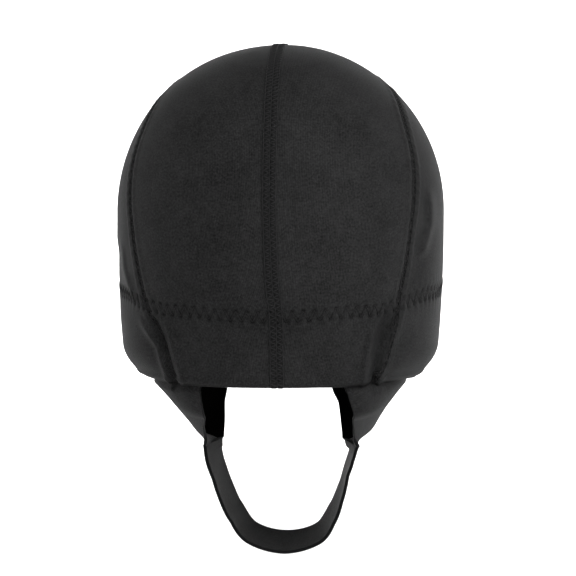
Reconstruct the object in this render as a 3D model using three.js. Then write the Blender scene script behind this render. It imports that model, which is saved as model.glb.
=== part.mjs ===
// A swim cap of thin foam cloth with ear flaps and a chin strap, in millimetres, +Z up.
// The wearer faces +Y and their right is +X. The origin is the inside of the crown's top.
import * as THREE from 'three';

// Cloth
const WALL = 2;
const FLAP_WALL = 1.8;
const STRAP_WALL = 1.8;
const STRAP_WIDTH = 22;
const SEAM_GAP = 0.4;
const LAYER_GAP = 2.6;

// Outer form of the cap: a dome on walls, both of rounded plan
const TOP = WALL;
const DOME_BASE = -85;
const DOME_POWER = 2.04;
const PLAN_POWER = 2.1;
const AIM = new THREE.Vector3(0, 0, -95);
const FAR = 260;
const STEPS_OF_SEARCH = 40;

// Half sizes of the plan, going down from the foot of the dome
const WALLS = [
  { z: -85, width: 85, back: 100, front: 104 },
  { z: -110, width: 85, back: 100, front: 103 },
  { z: -135, width: 84, back: 96.5, front: 100 },
  { z: -160, width: 82, back: 89, front: 95 },
  { z: -185, width: 79, back: 81, front: 90 },
];

// Lower edge by bearing, from 0 at the nape over 90 at the ear to 180 at the forehead.
// turn is how far the edge turns in over its last TURN_HEIGHT, where the flaps pull it.
const RIM = [
  { bearing: 0, z: -168.5, turn: 2 },
  { bearing: 30, z: -169, turn: 5 },
  { bearing: 60, z: -169, turn: 9.5 },
  { bearing: 90, z: -169.5, turn: 10 },
  { bearing: 112, z: -160, turn: 8 },
  { bearing: 128, z: -139, turn: 4 },
  { bearing: 143, z: -113, turn: 2 },
  { bearing: 160, z: -97, turn: 1.5 },
  { bearing: 180, z: -91, turn: 1.5 },
];
const TURN_HEIGHT = 17;

// Side seam as seen from the side, from above the nape edge to above the forehead edge
const SIDE_SEAM = [
  { y: -71.5, z: -150 },
  { y: -68.5, z: -129 },
  { y: -62.5, z: -105 },
  { y: -56.5, z: -80 },
  { y: -48, z: -57 },
  { y: -37, z: -38 },
  { y: -20, z: -25 },
  { y: 4, z: -17.5 },
  { y: 32, z: -21 },
  { y: 60, z: -38 },
  { y: 78, z: -62 },
];
const SEAM_NAPE_BEARING = 37;

// How far the centre seam wanders to the wearer's right, going up the back of the cap
const CENTRE_SEAM = [
  { z: -169, x: 4.2 },
  { z: -150, x: 4.5 },
  { z: -132, x: 4.6 },
  { z: -119, x: 3.1 },
  { z: -85, x: 1.7 },
  { z: -45, x: 1.2 },
  { z: 0, x: 0 },
];
const SEAM_FOREHEAD_BEARING = 152;
const EAR = { bearing: 92, z: -110 };

// Valleys along the side seams and above the ears, as seen from behind; x is positive on the wearer's right
const FOLDS = [
  { x: -60, z: -131, endX: -48, endZ: -172, depth: 1.8, reach: 7 },
  { x: 60, z: -128, endX: 49, endZ: -172, depth: 1.8, reach: 7 },
  { x: 80, z: -80, endX: 66, endZ: -122, depth: 1.6, reach: 9 },
  { x: -81, z: -96, endX: -76, endZ: -128, depth: 1.4, reach: 8 },
];

// Ear flap on the right. The first rows lie inside the cap, at a height over its edge;
// the others hang below it. round is 1 where a row is a bowed arc and 0 where it is flat.
// lean is how far each of a row's three points hangs over to the right, on both sides.
const FLAP_BEARINGS = { rear: 30, side: 86, front: 124 };
const FLAP_INSIDE_ROWS = [
  { overRim: 35, round: 1 },
  { overRim: 19, round: 1 },
  { overRim: 4, round: 1 },
];
const FLAP_HANGING_ROWS = [
  {
    rear: [38, -62, -184],
    side: [59.8, -4, -178],
    front: [46, 66, -164],
    lean: [3.1, 1.2, -2],
    round: 1,
  },
  {
    rear: [37.8, -49, -189],
    side: [53.4, -3, -185],
    front: [30, 64, -181],
    lean: [2.4, 2, -5.6],
    round: 1,
  },
  {
    rear: [38.8, -34, -195],
    side: [50.2, -1, -192],
    front: [31.6, 46, -192],
    lean: [1.2, 1.2, -3],
    round: 0.85,
  },
  {
    rear: [39.2, -20, -201],
    side: [45.4, 1, -200],
    front: [32, 28, -200.5],
    lean: [0.6, 0.8, -1.1],
    round: 0.5,
  },
  {
    rear: [40.6, -8.8, -206.5],
    side: [37.2, 1.8, -206.5],
    front: [32.6, 12.4, -206.5],
    lean: [0.4, 0.9, 0.2],
    round: 0,
  },
];

// How much farther out the flaps may come with each millimetre, from a depth below the edge
const LET_OUT = 1.6;
const LET_OUT_FROM = 6;

// Middle line of the strap from the left flap to the right one.
// turn is how far its inner face turns towards the nape, in degrees.
const STRAP_ROUTE = [
  { x: -36.3, y: 1.8, z: -207.7, turn: 18 },
  { x: -36.1, y: 2.1, z: -213, turn: 16 },
  { x: -34.2, y: 5.5, z: -222, turn: 13 },
  { x: -30.8, y: 10, z: -234, turn: 15 },
  { x: -26, y: 15, z: -246, turn: 16 },
  { x: -17.4, y: 19.3, z: -258.4, turn: 18.5 },
  { x: 0.8, y: 20.8, z: -263.6, turn: 21 },
  { x: 18.8, y: 19.3, z: -258.4, turn: 18 },
  { x: 27, y: 15, z: -246.5, turn: 14.5 },
  { x: 31.9, y: 10, z: -233.5, turn: 9.5 },
  { x: 35.2, y: 5.5, z: -221, turn: 7 },
  { x: 37.3, y: 2.1, z: -213, turn: 7.5 },
  { x: 37.4, y: 1.8, z: -207.7, turn: 20 },
];

// Facets
const SEAM_ROWS = 44;
const CENTRE_COLUMNS = 8;
const SIDE_ROWS = 12;
const FLAP_COLUMNS = 16;
const FLAP_ROWS = 24;
const STRAP_STEPS = 44;
const STRAP_COLUMNS = 3;
const CURVE_SAMPLES = 40;

const RADIANS = Math.PI / 180;

const CLOTH = { color: 0x2b2b2d, roughness: 0.9, metalness: 0 };
const INNER_CLOTH = { color: 0x19191a, roughness: 0.92, metalness: 0 };
const STRAP_CLOTH = { color: 0x303032, roughness: 0.88, metalness: 0 };

// Value of a table's column at a key between its rows, on a smooth curve through them
function tableValue(rows, keyColumn, valueColumn, key) {
  const last = rows.length - 1;
  const rising = rows[last][keyColumn] > rows[0][keyColumn];
  let i = 0;
  while (i < last - 1 && (rising ? key > rows[i + 1][keyColumn] : key < rows[i + 1][keyColumn])) {
    i += 1;
  }
  const slopeAt = (k) => {
    const before = rows[Math.max(0, k - 1)];
    const after = rows[Math.min(last, k + 1)];
    return (after[valueColumn] - before[valueColumn]) / (after[keyColumn] - before[keyColumn]);
  };
  const a = rows[i];
  const b = rows[i + 1];
  const span = b[keyColumn] - a[keyColumn];
  const t = THREE.MathUtils.clamp((key - a[keyColumn]) / span, 0, 1);
  const t2 = t * t;
  const t3 = t2 * t;
  return (
    (2 * t3 - 3 * t2 + 1) * a[valueColumn] +
    (t3 - 2 * t2 + t) * span * slopeAt(i) +
    (3 * t2 - 2 * t3) * b[valueColumn] +
    (t3 - t2) * span * slopeAt(i + 1)
  );
}

// Bearing of a point round the head, 0 at the nape and 180 at the forehead on either side
function bearingOf(p) {
  return Math.atan2(Math.abs(p.x), -p.y) / RADIANS;
}

// How far the folds press the wall in at a point
function foldDepth(p) {
  let depth = 0;
  for (const fold of FOLDS) {
    if (p.y > 0) {
      continue;
    }
    const dx = fold.endX - fold.x;
    const dz = fold.endZ - fold.z;
    const along = ((p.x - fold.x) * dx + (p.z - fold.z) * dz) / (dx * dx + dz * dz);
    const t = THREE.MathUtils.clamp(along, 0, 1);
    const away = Math.hypot(p.x - fold.x - t * dx, p.z - fold.z - t * dz) / fold.reach;
    const start = THREE.MathUtils.smoothstep(t, -0.01, 0.35);
    depth += fold.depth * start * Math.exp(-away * away * 1.6);
  }
  return depth;
}

// Below zero inside the cap's outer form and above zero outside it
function outerForm(p) {
  const z = Math.min(p.z, DOME_BASE);
  const depthColumn = p.y < 0 ? 'back' : 'front';
  const width = tableValue(WALLS, 'z', 'width', z);
  const depth = tableValue(WALLS, 'z', depthColumn, z);
  const bearing = bearingOf(p);
  const overRim = p.z - tableValue(RIM, 'bearing', 'z', bearing);
  const low = THREE.MathUtils.clamp(1 - overRim / TURN_HEIGHT, 0, 1.3);
  const inwards = tableValue(RIM, 'bearing', 'turn', bearing) * low * low + foldDepth(p);
  const across = Math.pow(Math.abs(p.x) / width, PLAN_POWER) + Math.pow(Math.abs(p.y) / depth, PLAN_POWER);
  const plan = Math.pow(across, 1 / PLAN_POWER) + inwards / width;
  const rise = Math.max(0, (p.z - DOME_BASE) / (TOP - DOME_BASE));
  return Math.pow(plan, DOME_POWER) + Math.pow(rise, DOME_POWER) - 1;
}

// Distance from AIM to the outer form along a direction
function outerReach(direction) {
  let low = 0;
  let high = FAR;
  for (let i = 0; i < STEPS_OF_SEARCH; i += 1) {
    const middle = (low + high) / 2;
    if (outerForm(direction.clone().multiplyScalar(middle).add(AIM)) < 0) {
      low = middle;
    } else {
      high = middle;
    }
  }
  return low;
}

function ontoOuterForm(p) {
  const direction = p.clone().sub(AIM).normalize();
  return direction.clone().multiplyScalar(outerReach(direction)).add(AIM);
}

function outerNormal(p) {
  const step = 0.05;
  const slope = (axis) => {
    const ahead = p.clone();
    const behind = p.clone();
    ahead[axis] += step;
    behind[axis] -= step;
    return outerForm(ahead) - outerForm(behind);
  };
  return new THREE.Vector3(slope('x'), slope('y'), slope('z')).normalize();
}

// Point of the outer form at a bearing and a height; side is 1 on the right and -1 on the left
function wallPoint(bearing, z, side) {
  const sin = Math.sin(bearing * RADIANS) * side;
  const cos = -Math.cos(bearing * RADIANS);
  let low = 0;
  let high = FAR;
  for (let i = 0; i < STEPS_OF_SEARCH; i += 1) {
    const middle = (low + high) / 2;
    if (outerForm(new THREE.Vector3(sin * middle, cos * middle, z)) < 0) {
      low = middle;
    } else {
      high = middle;
    }
  }
  return new THREE.Vector3(sin * low, cos * low, z);
}

function rimPoint(bearing, side) {
  return wallPoint(bearing, tableValue(RIM, 'bearing', 'z', bearing), side);
}

// Point of the outer form straight out to the side of a place in the side view
function sidePoint(y, z, side) {
  let low = 0;
  let high = FAR;
  for (let i = 0; i < STEPS_OF_SEARCH; i += 1) {
    const middle = (low + high) / 2;
    if (outerForm(new THREE.Vector3(middle * side, y, z)) < 0) {
      low = middle;
    } else {
      high = middle;
    }
  }
  return new THREE.Vector3(low * side, y, z);
}

// The same line with count + 1 points at even distances
function evenly(points, count) {
  return new THREE.CatmullRomCurve3(points, false, 'centripetal').getSpacedPoints(count);
}

function seamWander(p) {
  return p.y < 0 ? tableValue(CENTRE_SEAM, 'z', 'x', p.z) : 0;
}

function centreSeamLine() {
  const nape = rimPoint(0, 1);
  const forehead = rimPoint(180, 1);
  const start = Math.atan2(nape.z - AIM.z, nape.y) + 2 * Math.PI;
  const end = Math.atan2(forehead.z - AIM.z, forehead.y);
  const points = [];
  for (let i = 0; i <= CURVE_SAMPLES; i += 1) {
    const turned = THREE.MathUtils.lerp(start, end, i / CURVE_SAMPLES);
    const p = ontoOuterForm(new THREE.Vector3(0, Math.cos(turned), Math.sin(turned)).add(AIM));
    p.x = seamWander(p);
    points.push(ontoOuterForm(p));
  }
  return evenly(points, SEAM_ROWS);
}

function sideSeamLine(side) {
  const controls = [
    rimPoint(SEAM_NAPE_BEARING, side),
    ...SIDE_SEAM.map((row) => sidePoint(row.y, row.z, side)),
    rimPoint(SEAM_FOREHEAD_BEARING, side),
  ];
  const line = evenly(controls, SEAM_ROWS);
  return line.map((p, i) => (i === 0 || i === SEAM_ROWS ? p : ontoOuterForm(p)));
}

function rimLine(from, to, side, count) {
  const points = [];
  for (let i = 0; i <= count; i += 1) {
    points.push(rimPoint(from + ((to - from) * i) / count, side));
  }
  return points;
}

// A grid of points between four lines, brought onto the outer form inside its edges.
// Rows run from bottom to top; left and right have one point for each row.
function patch(bottom, top, left, right) {
  const rows = left.length - 1;
  const columns = bottom.length - 1;
  const grid = [];
  for (let r = 0; r <= rows; r += 1) {
    const v = r / rows;
    const line = [];
    for (let c = 0; c <= columns; c += 1) {
      const u = c / columns;
      const p = bottom[c].clone().multiplyScalar(1 - v);
      p.addScaledVector(top[c], v);
      p.addScaledVector(left[r], 1 - u);
      p.addScaledVector(right[r], u);
      p.addScaledVector(bottom[0], -(1 - u) * (1 - v));
      p.addScaledVector(bottom[columns], -u * (1 - v));
      p.addScaledVector(top[0], -(1 - u) * v);
      p.addScaledVector(top[columns], -u * v);
      const onEdge = r === 0 || c === 0 || r === rows || c === columns;
      line.push(onEdge ? p : ontoOuterForm(p));
    }
    grid.push(line);
  }
  return grid;
}

// A seam line moved half a seam gap across the cloth, towards a point inside the panel
function besideSeam(line, towards) {
  const last = line.length - 1;
  return line.map((p, i) => {
    const along = line[Math.min(last, i + 1)].clone().sub(line[Math.max(0, i - 1)]);
    const across = along.cross(outerNormal(p)).setLength(SEAM_GAP / 2);
    if (across.dot(towards(i).clone().sub(p)) < 0) {
      across.negate();
    }
    return p.clone().add(across);
  });
}

// A closed body between two grids of points; outer faces away from inner
function clothMesh(name, outer, inner, material) {
  const rows = outer.length;
  const columns = outer[0].length;
  const at = (layer, r, c) => (layer * rows + r) * columns + c;
  const positions = [];
  for (const layer of [outer, inner]) {
    for (const line of layer) {
      for (const p of line) {
        positions.push(p.x, p.y, p.z);
      }
    }
  }
  const indices = [];
  const quad = (a, b, c, d) => indices.push(a, b, c, a, c, d);
  for (let r = 0; r < rows - 1; r += 1) {
    for (let c = 0; c < columns - 1; c += 1) {
      quad(at(0, r, c), at(0, r, c + 1), at(0, r + 1, c + 1), at(0, r + 1, c));
      quad(at(1, r, c), at(1, r + 1, c), at(1, r + 1, c + 1), at(1, r, c + 1));
    }
    quad(at(0, r + 1, 0), at(1, r + 1, 0), at(1, r, 0), at(0, r, 0));
    const end = columns - 1;
    quad(at(0, r, end), at(1, r, end), at(1, r + 1, end), at(0, r + 1, end));
  }
  for (let c = 0; c < columns - 1; c += 1) {
    quad(at(0, 0, c), at(1, 0, c), at(1, 0, c + 1), at(0, 0, c + 1));
    quad(at(0, rows - 1, c + 1), at(1, rows - 1, c + 1), at(1, rows - 1, c), at(0, rows - 1, c));
  }
  const geometry = new THREE.BufferGeometry();
  geometry.setAttribute('position', new THREE.Float32BufferAttribute(positions, 3));
  geometry.setIndex(signedVolume(positions, indices) < 0 ? indices.reverse() : indices);
  geometry.computeVertexNormals();
  const mesh = new THREE.Mesh(geometry, new THREE.MeshStandardMaterial(material));
  mesh.name = name;
  return mesh;
}

function signedVolume(positions, indices) {
  const point = (i) => new THREE.Vector3().fromArray(positions, 3 * i);
  let volume = 0;
  for (let i = 0; i < indices.length; i += 3) {
    const [a, b, c] = [point(indices[i]), point(indices[i + 1]), point(indices[i + 2])];
    volume += a.dot(b.cross(c)) / 6;
  }
  return volume;
}

function innerFace(outer) {
  return outer.map((line) => line.map((p) => p.clone().addScaledVector(outerNormal(p), -WALL)));
}

function centrePanel(side, centreSeam, sideSeam) {
  const napeBearing = bearingOf(centreSeam[0]) * side;
  const bottom = rimLine(napeBearing, SEAM_NAPE_BEARING, side, CENTRE_COLUMNS);
  const top = rimLine(180, SEAM_FOREHEAD_BEARING, side, CENTRE_COLUMNS);
  const centreEdge = besideSeam(centreSeam, (i) => sideSeam[i]);
  const sideEdge = besideSeam(sideSeam, (i) => centreSeam[i]);
  const outer = patch(bottom, top, centreEdge, sideEdge);
  const name = side > 0 ? 'centre_panel_right' : 'centre_panel_left';
  return clothMesh(name, outer, innerFace(outer), CLOTH);
}

function sidePanel(side, sideSeam) {
  const ear = wallPoint(EAR.bearing, EAR.z, side);
  const seam = besideSeam(sideSeam, () => ear);
  const rear = seam.slice(0, SIDE_ROWS + 1);
  const over = seam.slice(SIDE_ROWS, SEAM_ROWS - SIDE_ROWS + 1);
  const front = seam.slice(SEAM_ROWS - SIDE_ROWS).reverse();
  const bottom = rimLine(SEAM_NAPE_BEARING, SEAM_FOREHEAD_BEARING, side, over.length - 1);
  const outer = patch(bottom, over, rear, front);
  const name = side > 0 ? 'side_panel_right' : 'side_panel_left';
  return clothMesh(name, outer, innerFace(outer), CLOTH);
}

// Keeps a flap's outer face a layer gap inside the cap's wall. Below the edge it goes on
// straight down and is then let out.
function insideCap(p) {
  const below = Math.max(0, tableValue(RIM, 'bearing', 'z', bearingOf(p)) - p.z);
  if (below > TURN_HEIGHT) {
    return p;
  }
  const raised = p.clone();
  raised.z += below;
  const wall = ontoOuterForm(raised);
  wall.addScaledVector(outerNormal(wall), -(WALL + LAYER_GAP));
  const limit = wall.sub(AIM).length() + LET_OUT * Math.max(0, below - LET_OUT_FROM);
  const reach = Math.min(raised.distanceTo(AIM), limit);
  const kept = raised.sub(AIM).setLength(reach).add(AIM);
  kept.z -= below;
  return kept;
}

// Rows of three control points on one flap: its rear edge, its side and its front edge
function flapRows(side) {
  const inside = FLAP_INSIDE_ROWS.map((row) => {
    const corner = (bearing) => {
      const z = tableValue(RIM, 'bearing', 'z', bearing) + row.overRim;
      return insideCap(wallPoint(bearing, z, side));
    };
    return {
      rear: corner(FLAP_BEARINGS.rear),
      side: corner(FLAP_BEARINGS.side),
      front: corner(FLAP_BEARINGS.front),
      round: row.round,
    };
  });
  const mirrored = ([x, y, z], lean) => new THREE.Vector3(x * side + lean, y, z);
  const hanging = FLAP_HANGING_ROWS.map((row) => ({
    rear: mirrored(row.rear, row.lean[0]),
    side: mirrored(row.side, row.lean[1]),
    front: mirrored(row.front, row.lean[2]),
    round: row.round,
  }));
  return [...inside, ...hanging];
}

// Point across a row: t is -1 at the rear edge, 0 at the side and 1 at the front edge
function flapPoint(rear, middle, front, round, t) {
  const end = t < 0 ? rear : front;
  const far = Math.abs(t);
  const quarter = (far * Math.PI) / 2;
  const arc = new THREE.Vector3(
    middle.x + (end.x - middle.x) * (1 - Math.cos(quarter)),
    middle.y + (end.y - middle.y) * Math.sin(quarter),
    middle.z + (end.z - middle.z) * far,
  );
  const straight = middle.clone().lerp(end, far);
  return straight.lerp(arc, round);
}

function earFlap(side) {
  const rows = flapRows(side);
  const curve = (key) => new THREE.CatmullRomCurve3(rows.map((row) => row[key]), false, 'centripetal');
  const [rearEdge, sideLine, frontEdge] = ['rear', 'side', 'front'].map(curve);
  const outer = [];
  for (let r = 0; r <= FLAP_ROWS; r += 1) {
    const v = r / FLAP_ROWS;
    const row = Math.min(rows.length - 2, Math.floor(v * (rows.length - 1)));
    const share = v * (rows.length - 1) - row;
    const round = THREE.MathUtils.lerp(rows[row].round, rows[row + 1].round, share);
    const [rear, middle, front] = [rearEdge, sideLine, frontEdge].map((line) => line.getPoint(v));
    const points = [];
    for (let c = 0; c <= FLAP_COLUMNS; c += 1) {
      const t = (2 * c) / FLAP_COLUMNS - 1;
      points.push(insideCap(flapPoint(rear, middle, front, round, t)));
    }
    outer.push(points);
  }
  const inner = offsetGrid(outer, -side * FLAP_WALL);
  const name = side > 0 ? 'ear_flap_right' : 'ear_flap_left';
  return clothMesh(name, outer, inner, INNER_CLOTH);
}

// The grid moved along its own normals
function offsetGrid(grid, distance) {
  const rows = grid.length - 1;
  const columns = grid[0].length - 1;
  return grid.map((line, r) =>
    line.map((p, c) => {
      const along = grid[Math.min(rows, r + 1)][c].clone().sub(grid[Math.max(0, r - 1)][c]);
      const across = line[Math.min(columns, c + 1)].clone().sub(line[Math.max(0, c - 1)]);
      return p.clone().addScaledVector(along.cross(across).normalize(), distance);
    }),
  );
}

function chinStrap() {
  const route = new THREE.CatmullRomCurve3(
    STRAP_ROUTE.map((row) => new THREE.Vector3(row.x, row.y, row.z)),
    false,
    'centripetal',
  );
  const top = [];
  const under = [];
  for (let i = 0; i <= STRAP_STEPS; i += 1) {
    const t = i / STRAP_STEPS;
    const middle = route.getPoint(t);
    const tangent = route.getTangent(t);
    const place = t * (STRAP_ROUTE.length - 1);
    const row = Math.min(STRAP_ROUTE.length - 2, Math.floor(place));
    const turn = THREE.MathUtils.lerp(STRAP_ROUTE[row].turn, STRAP_ROUTE[row + 1].turn, place - row);
    const width = new THREE.Vector3(0, 1, 0).addScaledVector(tangent, -tangent.y).normalize();
    width.applyAxisAngle(tangent, turn * RADIANS);
    const normal = tangent.clone().cross(width);
    const upper = [];
    const lower = [];
    for (let c = 0; c <= STRAP_COLUMNS; c += 1) {
      const p = middle.clone().addScaledVector(width, STRAP_WIDTH * (c / STRAP_COLUMNS - 0.5));
      upper.push(p.clone().addScaledVector(normal, STRAP_WALL / 2));
      lower.push(p.clone().addScaledVector(normal, -STRAP_WALL / 2));
    }
    top.push(upper);
    under.push(lower);
  }
  return clothMesh('chin_strap', top, under, STRAP_CLOTH);
}

const cap = new THREE.Group();
const centreSeam = centreSeamLine();
for (const side of [-1, 1]) {
  const sideSeam = sideSeamLine(side);
  cap.add(centrePanel(side, centreSeam, sideSeam));
  cap.add(sidePanel(side, sideSeam));
  cap.add(earFlap(side));
}
cap.add(chinStrap());

export default cap;
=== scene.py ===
"""Looks of a close-fitting swim cap of foam cloth, with ear flaps and a chin strap.

The tables are in millimetres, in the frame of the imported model: the origin is the inside of the
crown's top, +Z is up, the wearer faces +Y and their right is +X. Meshes are made in metres.
"""

import logging
import math
from collections.abc import Callable, Sequence
from dataclasses import dataclass, field
from enum import Enum

import bpy
import numpy as np
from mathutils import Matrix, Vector, noise
from mathutils.kdtree import KDTree


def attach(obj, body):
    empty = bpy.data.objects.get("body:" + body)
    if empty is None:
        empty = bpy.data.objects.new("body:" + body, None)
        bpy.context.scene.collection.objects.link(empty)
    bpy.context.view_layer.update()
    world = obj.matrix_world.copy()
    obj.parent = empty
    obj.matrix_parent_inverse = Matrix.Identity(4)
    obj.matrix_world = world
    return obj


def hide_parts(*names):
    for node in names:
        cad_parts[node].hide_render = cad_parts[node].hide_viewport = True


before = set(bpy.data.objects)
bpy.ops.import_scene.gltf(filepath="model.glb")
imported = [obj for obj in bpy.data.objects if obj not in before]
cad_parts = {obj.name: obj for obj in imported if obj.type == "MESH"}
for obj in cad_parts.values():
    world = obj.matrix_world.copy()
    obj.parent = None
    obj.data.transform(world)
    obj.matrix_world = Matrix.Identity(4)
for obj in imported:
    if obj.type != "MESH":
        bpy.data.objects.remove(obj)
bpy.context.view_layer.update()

Array = np.ndarray
Socket = bpy.types.NodeSocket
Colour = tuple[float, float, float]
Point = tuple[float, float, float]

MM = 0.001
BODY = "root"
LOG = logging.getLogger("swim_cap")


class Side(Enum):
    """Side of the wearer; the value is the sign of X there."""

    LEFT = -1
    RIGHT = 1

    @property
    def word(self) -> str:
        """Plain word for the side, as in node names."""
        return self.name.lower()


class Face(Enum):
    """Part of a cloth wall; the value is the place of its finish in the piece's list."""

    OUTER = 0
    INNER = 1
    EDGE = 2
    LAPPED = 3


class Held(Enum):
    """How a sheet of cloth is held."""

    STRETCHED = "stretched"
    HUNG = "hung"


class Table:
    """Short table of named columns, read between its rows on a smooth curve."""

    def __init__(self, key: str, **columns: Sequence[float]) -> None:
        """Sorts the rows by their key.

        Args:
            key: Name of the column that the rows are found by.
            columns: The columns, all of one length.
        """
        order = np.argsort(columns[key])
        self.keys = np.array(columns[key], float)[order]
        self.columns = {name: np.array(column, float)[order] for name, column in columns.items()}

    def at(self, column: str, place: Array | float) -> Array:
        """Reads a column.

        Args:
            column: Name of the column.
            place: Keys to read it at; past the ends the end rows hold.

        Returns:
            The column's values there.
        """
        keys, values = self.keys, self.columns[column]
        slopes = np.gradient(values, keys, edge_order=1)
        slopes[1:-1] = (values[2:] - values[:-2]) / (keys[2:] - keys[:-2])
        place = np.asarray(place, float)
        i = np.clip(np.searchsorted(keys, place) - 1, 0, len(keys) - 2)
        span = keys[i + 1] - keys[i]
        t = np.clip((place - keys[i]) / span, 0, 1)
        rise = (3 - 2 * t) * t * t
        ease_out = ((t - 2) * t + 1) * t * span * slopes[i]
        ease_in = (t - 1) * t * t * span * slopes[i + 1]
        return (1 - rise) * values[i] + rise * values[i + 1] + ease_out + ease_in


# Half sizes of the cap's plan by height
WALLS = Table(
    "z",
    z=(-85, -110, -135, -160, -185),
    width=(85, 85, 84, 82, 79),
    back=(100, 100, 96.5, 89, 81),
    front=(104, 103, 100, 95, 90),
)
# Lower edge by bearing, from 0 at the nape over 90 at the ear to 180 at the forehead
RIM = Table(
    "bearing",
    bearing=(0, 30, 60, 90, 112, 128, 143, 160, 180),
    z=(-168.5, -169, -169, -169.5, -160, -139, -113, -97, -91),
    turn=(2, 5, 9.5, 10, 8, 4, 2, 1.5, 1.5),
)
# How far the centre seam wanders to the wearer's right on the back of the cap
CENTRE_SEAM = Table("z", z=(-169, -150, -132, -119, -85, -45, 0), x=(4.2, 4.5, 4.6, 3.1, 1.7, 1.2, 0))
# Side seam as seen from the side
SIDE_SEAM = (
    (-71.5, -150),
    (-68.5, -129),
    (-62.5, -105),
    (-56.5, -80),
    (-48, -57),
    (-37, -38),
    (-20, -25),
    (4, -17.5),
    (32, -21),
    (60, -38),
    (78, -62),
)
# How much farther forwards the right side seam lies than that, by height
RIGHT_SEAM_SHIFT = Table(
    "z",
    z=(-150, -129, -105, -80, -57, -38, -25),
    y=(3.4, 2.2, 0.6, -2.4, -2.4, -1.4, 0),
)
# Line of zigzag stitching that holds the ear flaps, by bearing
FLAP_STITCHING = Table(
    "bearing",
    bearing=(0, 12, 22, 33, 43, 57, 70, 90, 110, 130, 142),
    z=(-132.7, -132, -130.8, -130.4, -128.6, -125, -124.2, -121.5, -119, -117, -116),
)


def bearing_of(p: Array) -> Array:
    """Bearing of points round the head in degrees, 0 at the nape, alike on both sides."""
    return np.degrees(np.arctan2(np.abs(p[..., 0]), -p[..., 1]))


def smooth(t: Array) -> Array:
    """Smooth step from 0 to 1 over the same range."""
    t = np.clip(t, 0, 1)
    return t * t * (3 - 2 * t)


def unit(v: Array) -> Array:
    """Vectors made one long."""
    return v / np.maximum(np.linalg.norm(v, axis=-1, keepdims=True), 1e-12)


def bell(distance: Array, reach: float) -> Array:
    """Rounded bump of height 1 over distance 0, which dies out past its reach."""
    return np.exp(-((distance / reach) ** 2))


def add_object(name: str, data: bpy.types.ID) -> bpy.types.Object:
    """Puts a mesh, camera or light into the scene.

    Args:
        name: Name of the new object.
        data: What it shows.

    Returns:
        The object, at the origin.
    """
    thing = bpy.data.objects.new(name, data)
    bpy.context.scene.collection.objects.link(thing)
    return thing


def catmull_rom(points: Array, places: Array) -> Array:
    """Centripetal curve through points.

    Args:
        points: Control points, one a row.
        places: Places on it from 0 to 1, with the points evenly spread over them.

    Returns:
        A point for each place.
    """
    ends = np.vstack([2 * points[0] - points[1], points, 2 * points[-1] - points[-2]])
    along = np.asarray(places) * (len(points) - 1)
    i = np.clip(np.floor(along).astype(int), 0, len(points) - 2)
    t = (along - i)[:, None]
    a, b, c, d = (ends[i + k] for k in range(4))
    first, middle, last = (
        np.maximum(np.sqrt(np.linalg.norm(q - p, axis=1, keepdims=True)), 1e-4)
        for p, q in ((a, b), (b, c), (c, d))
    )
    leave = ((b - a) / first - (c - a) / (first + middle) + (c - b) / middle) * middle
    arrive = ((c - b) / middle - (d - b) / (middle + last) + (d - c) / last) * middle
    rise = (3 - 2 * t) * t * t
    return (1 - rise) * b + rise * c + ((t - 2) * t + 1) * t * leave + (t - 1) * t * t * arrive


def lengths_along(line: Array) -> Array:
    """Distance along a line of points up to each of them."""
    steps = np.linalg.norm(np.diff(line, axis=0), axis=1)
    return np.concatenate([[0], np.cumsum(steps)])


def resample(line: Array, shares: Array) -> Array:
    """Points of a dense line at shares of its length."""
    run = lengths_along(line)
    return np.stack([np.interp(shares * run[-1], run, column) for column in line.T], axis=1)


def smooth_line(points: Array, shares: Array) -> Array:
    """Points at shares of the length of the smooth curve through control points."""
    dense = catmull_rom(points, np.linspace(0, 1, 60 * len(points)))
    return resample(dense, shares)


@dataclass(frozen=True)
class Crease:
    """A ridge or a valley of the cloth on the back of the cap.

    The path is a row of (x, z) points as seen from behind. Height is below zero for a valley,
    reach is its half width, and the fades are the shares of its path over which it sets in and
    runs out.
    """

    path: tuple[tuple[float, float], ...]
    height: float
    reach: float
    fade_in: float = 0.35
    fade_out: float = 0.0

    def lift(self, x: Array, z: Array) -> Array:
        """How far the crease lifts the cloth at places seen from behind.

        Args:
            x: Places across.
            z: Their heights.

        Returns:
            The lift there, below zero in a valley.
        """
        corners = np.array(self.path, float)
        run = lengths_along(corners)
        nearest = np.full(x.shape, np.inf)
        share = np.zeros(x.shape)
        for start, end, before in zip(corners[:-1], corners[1:], run[:-1]):
            step = end - start
            span = step @ step
            t = np.clip(((x - start[0]) * step[0] + (z - start[1]) * step[1]) / span, 0, 1)
            away = np.hypot(x - start[0] - t * step[0], z - start[1] - t * step[1])
            closer = away < nearest
            nearest = np.where(closer, away, nearest)
            share = np.where(closer, (before + t * math.sqrt(span)) / run[-1], share)
        strength = smooth(share / self.fade_in) if self.fade_in else 1.0
        if self.fade_out:
            strength = strength * smooth((1 - share) / self.fade_out)
        return self.height * strength * np.exp(-1.6 * (nearest / self.reach) ** 2)


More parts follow.
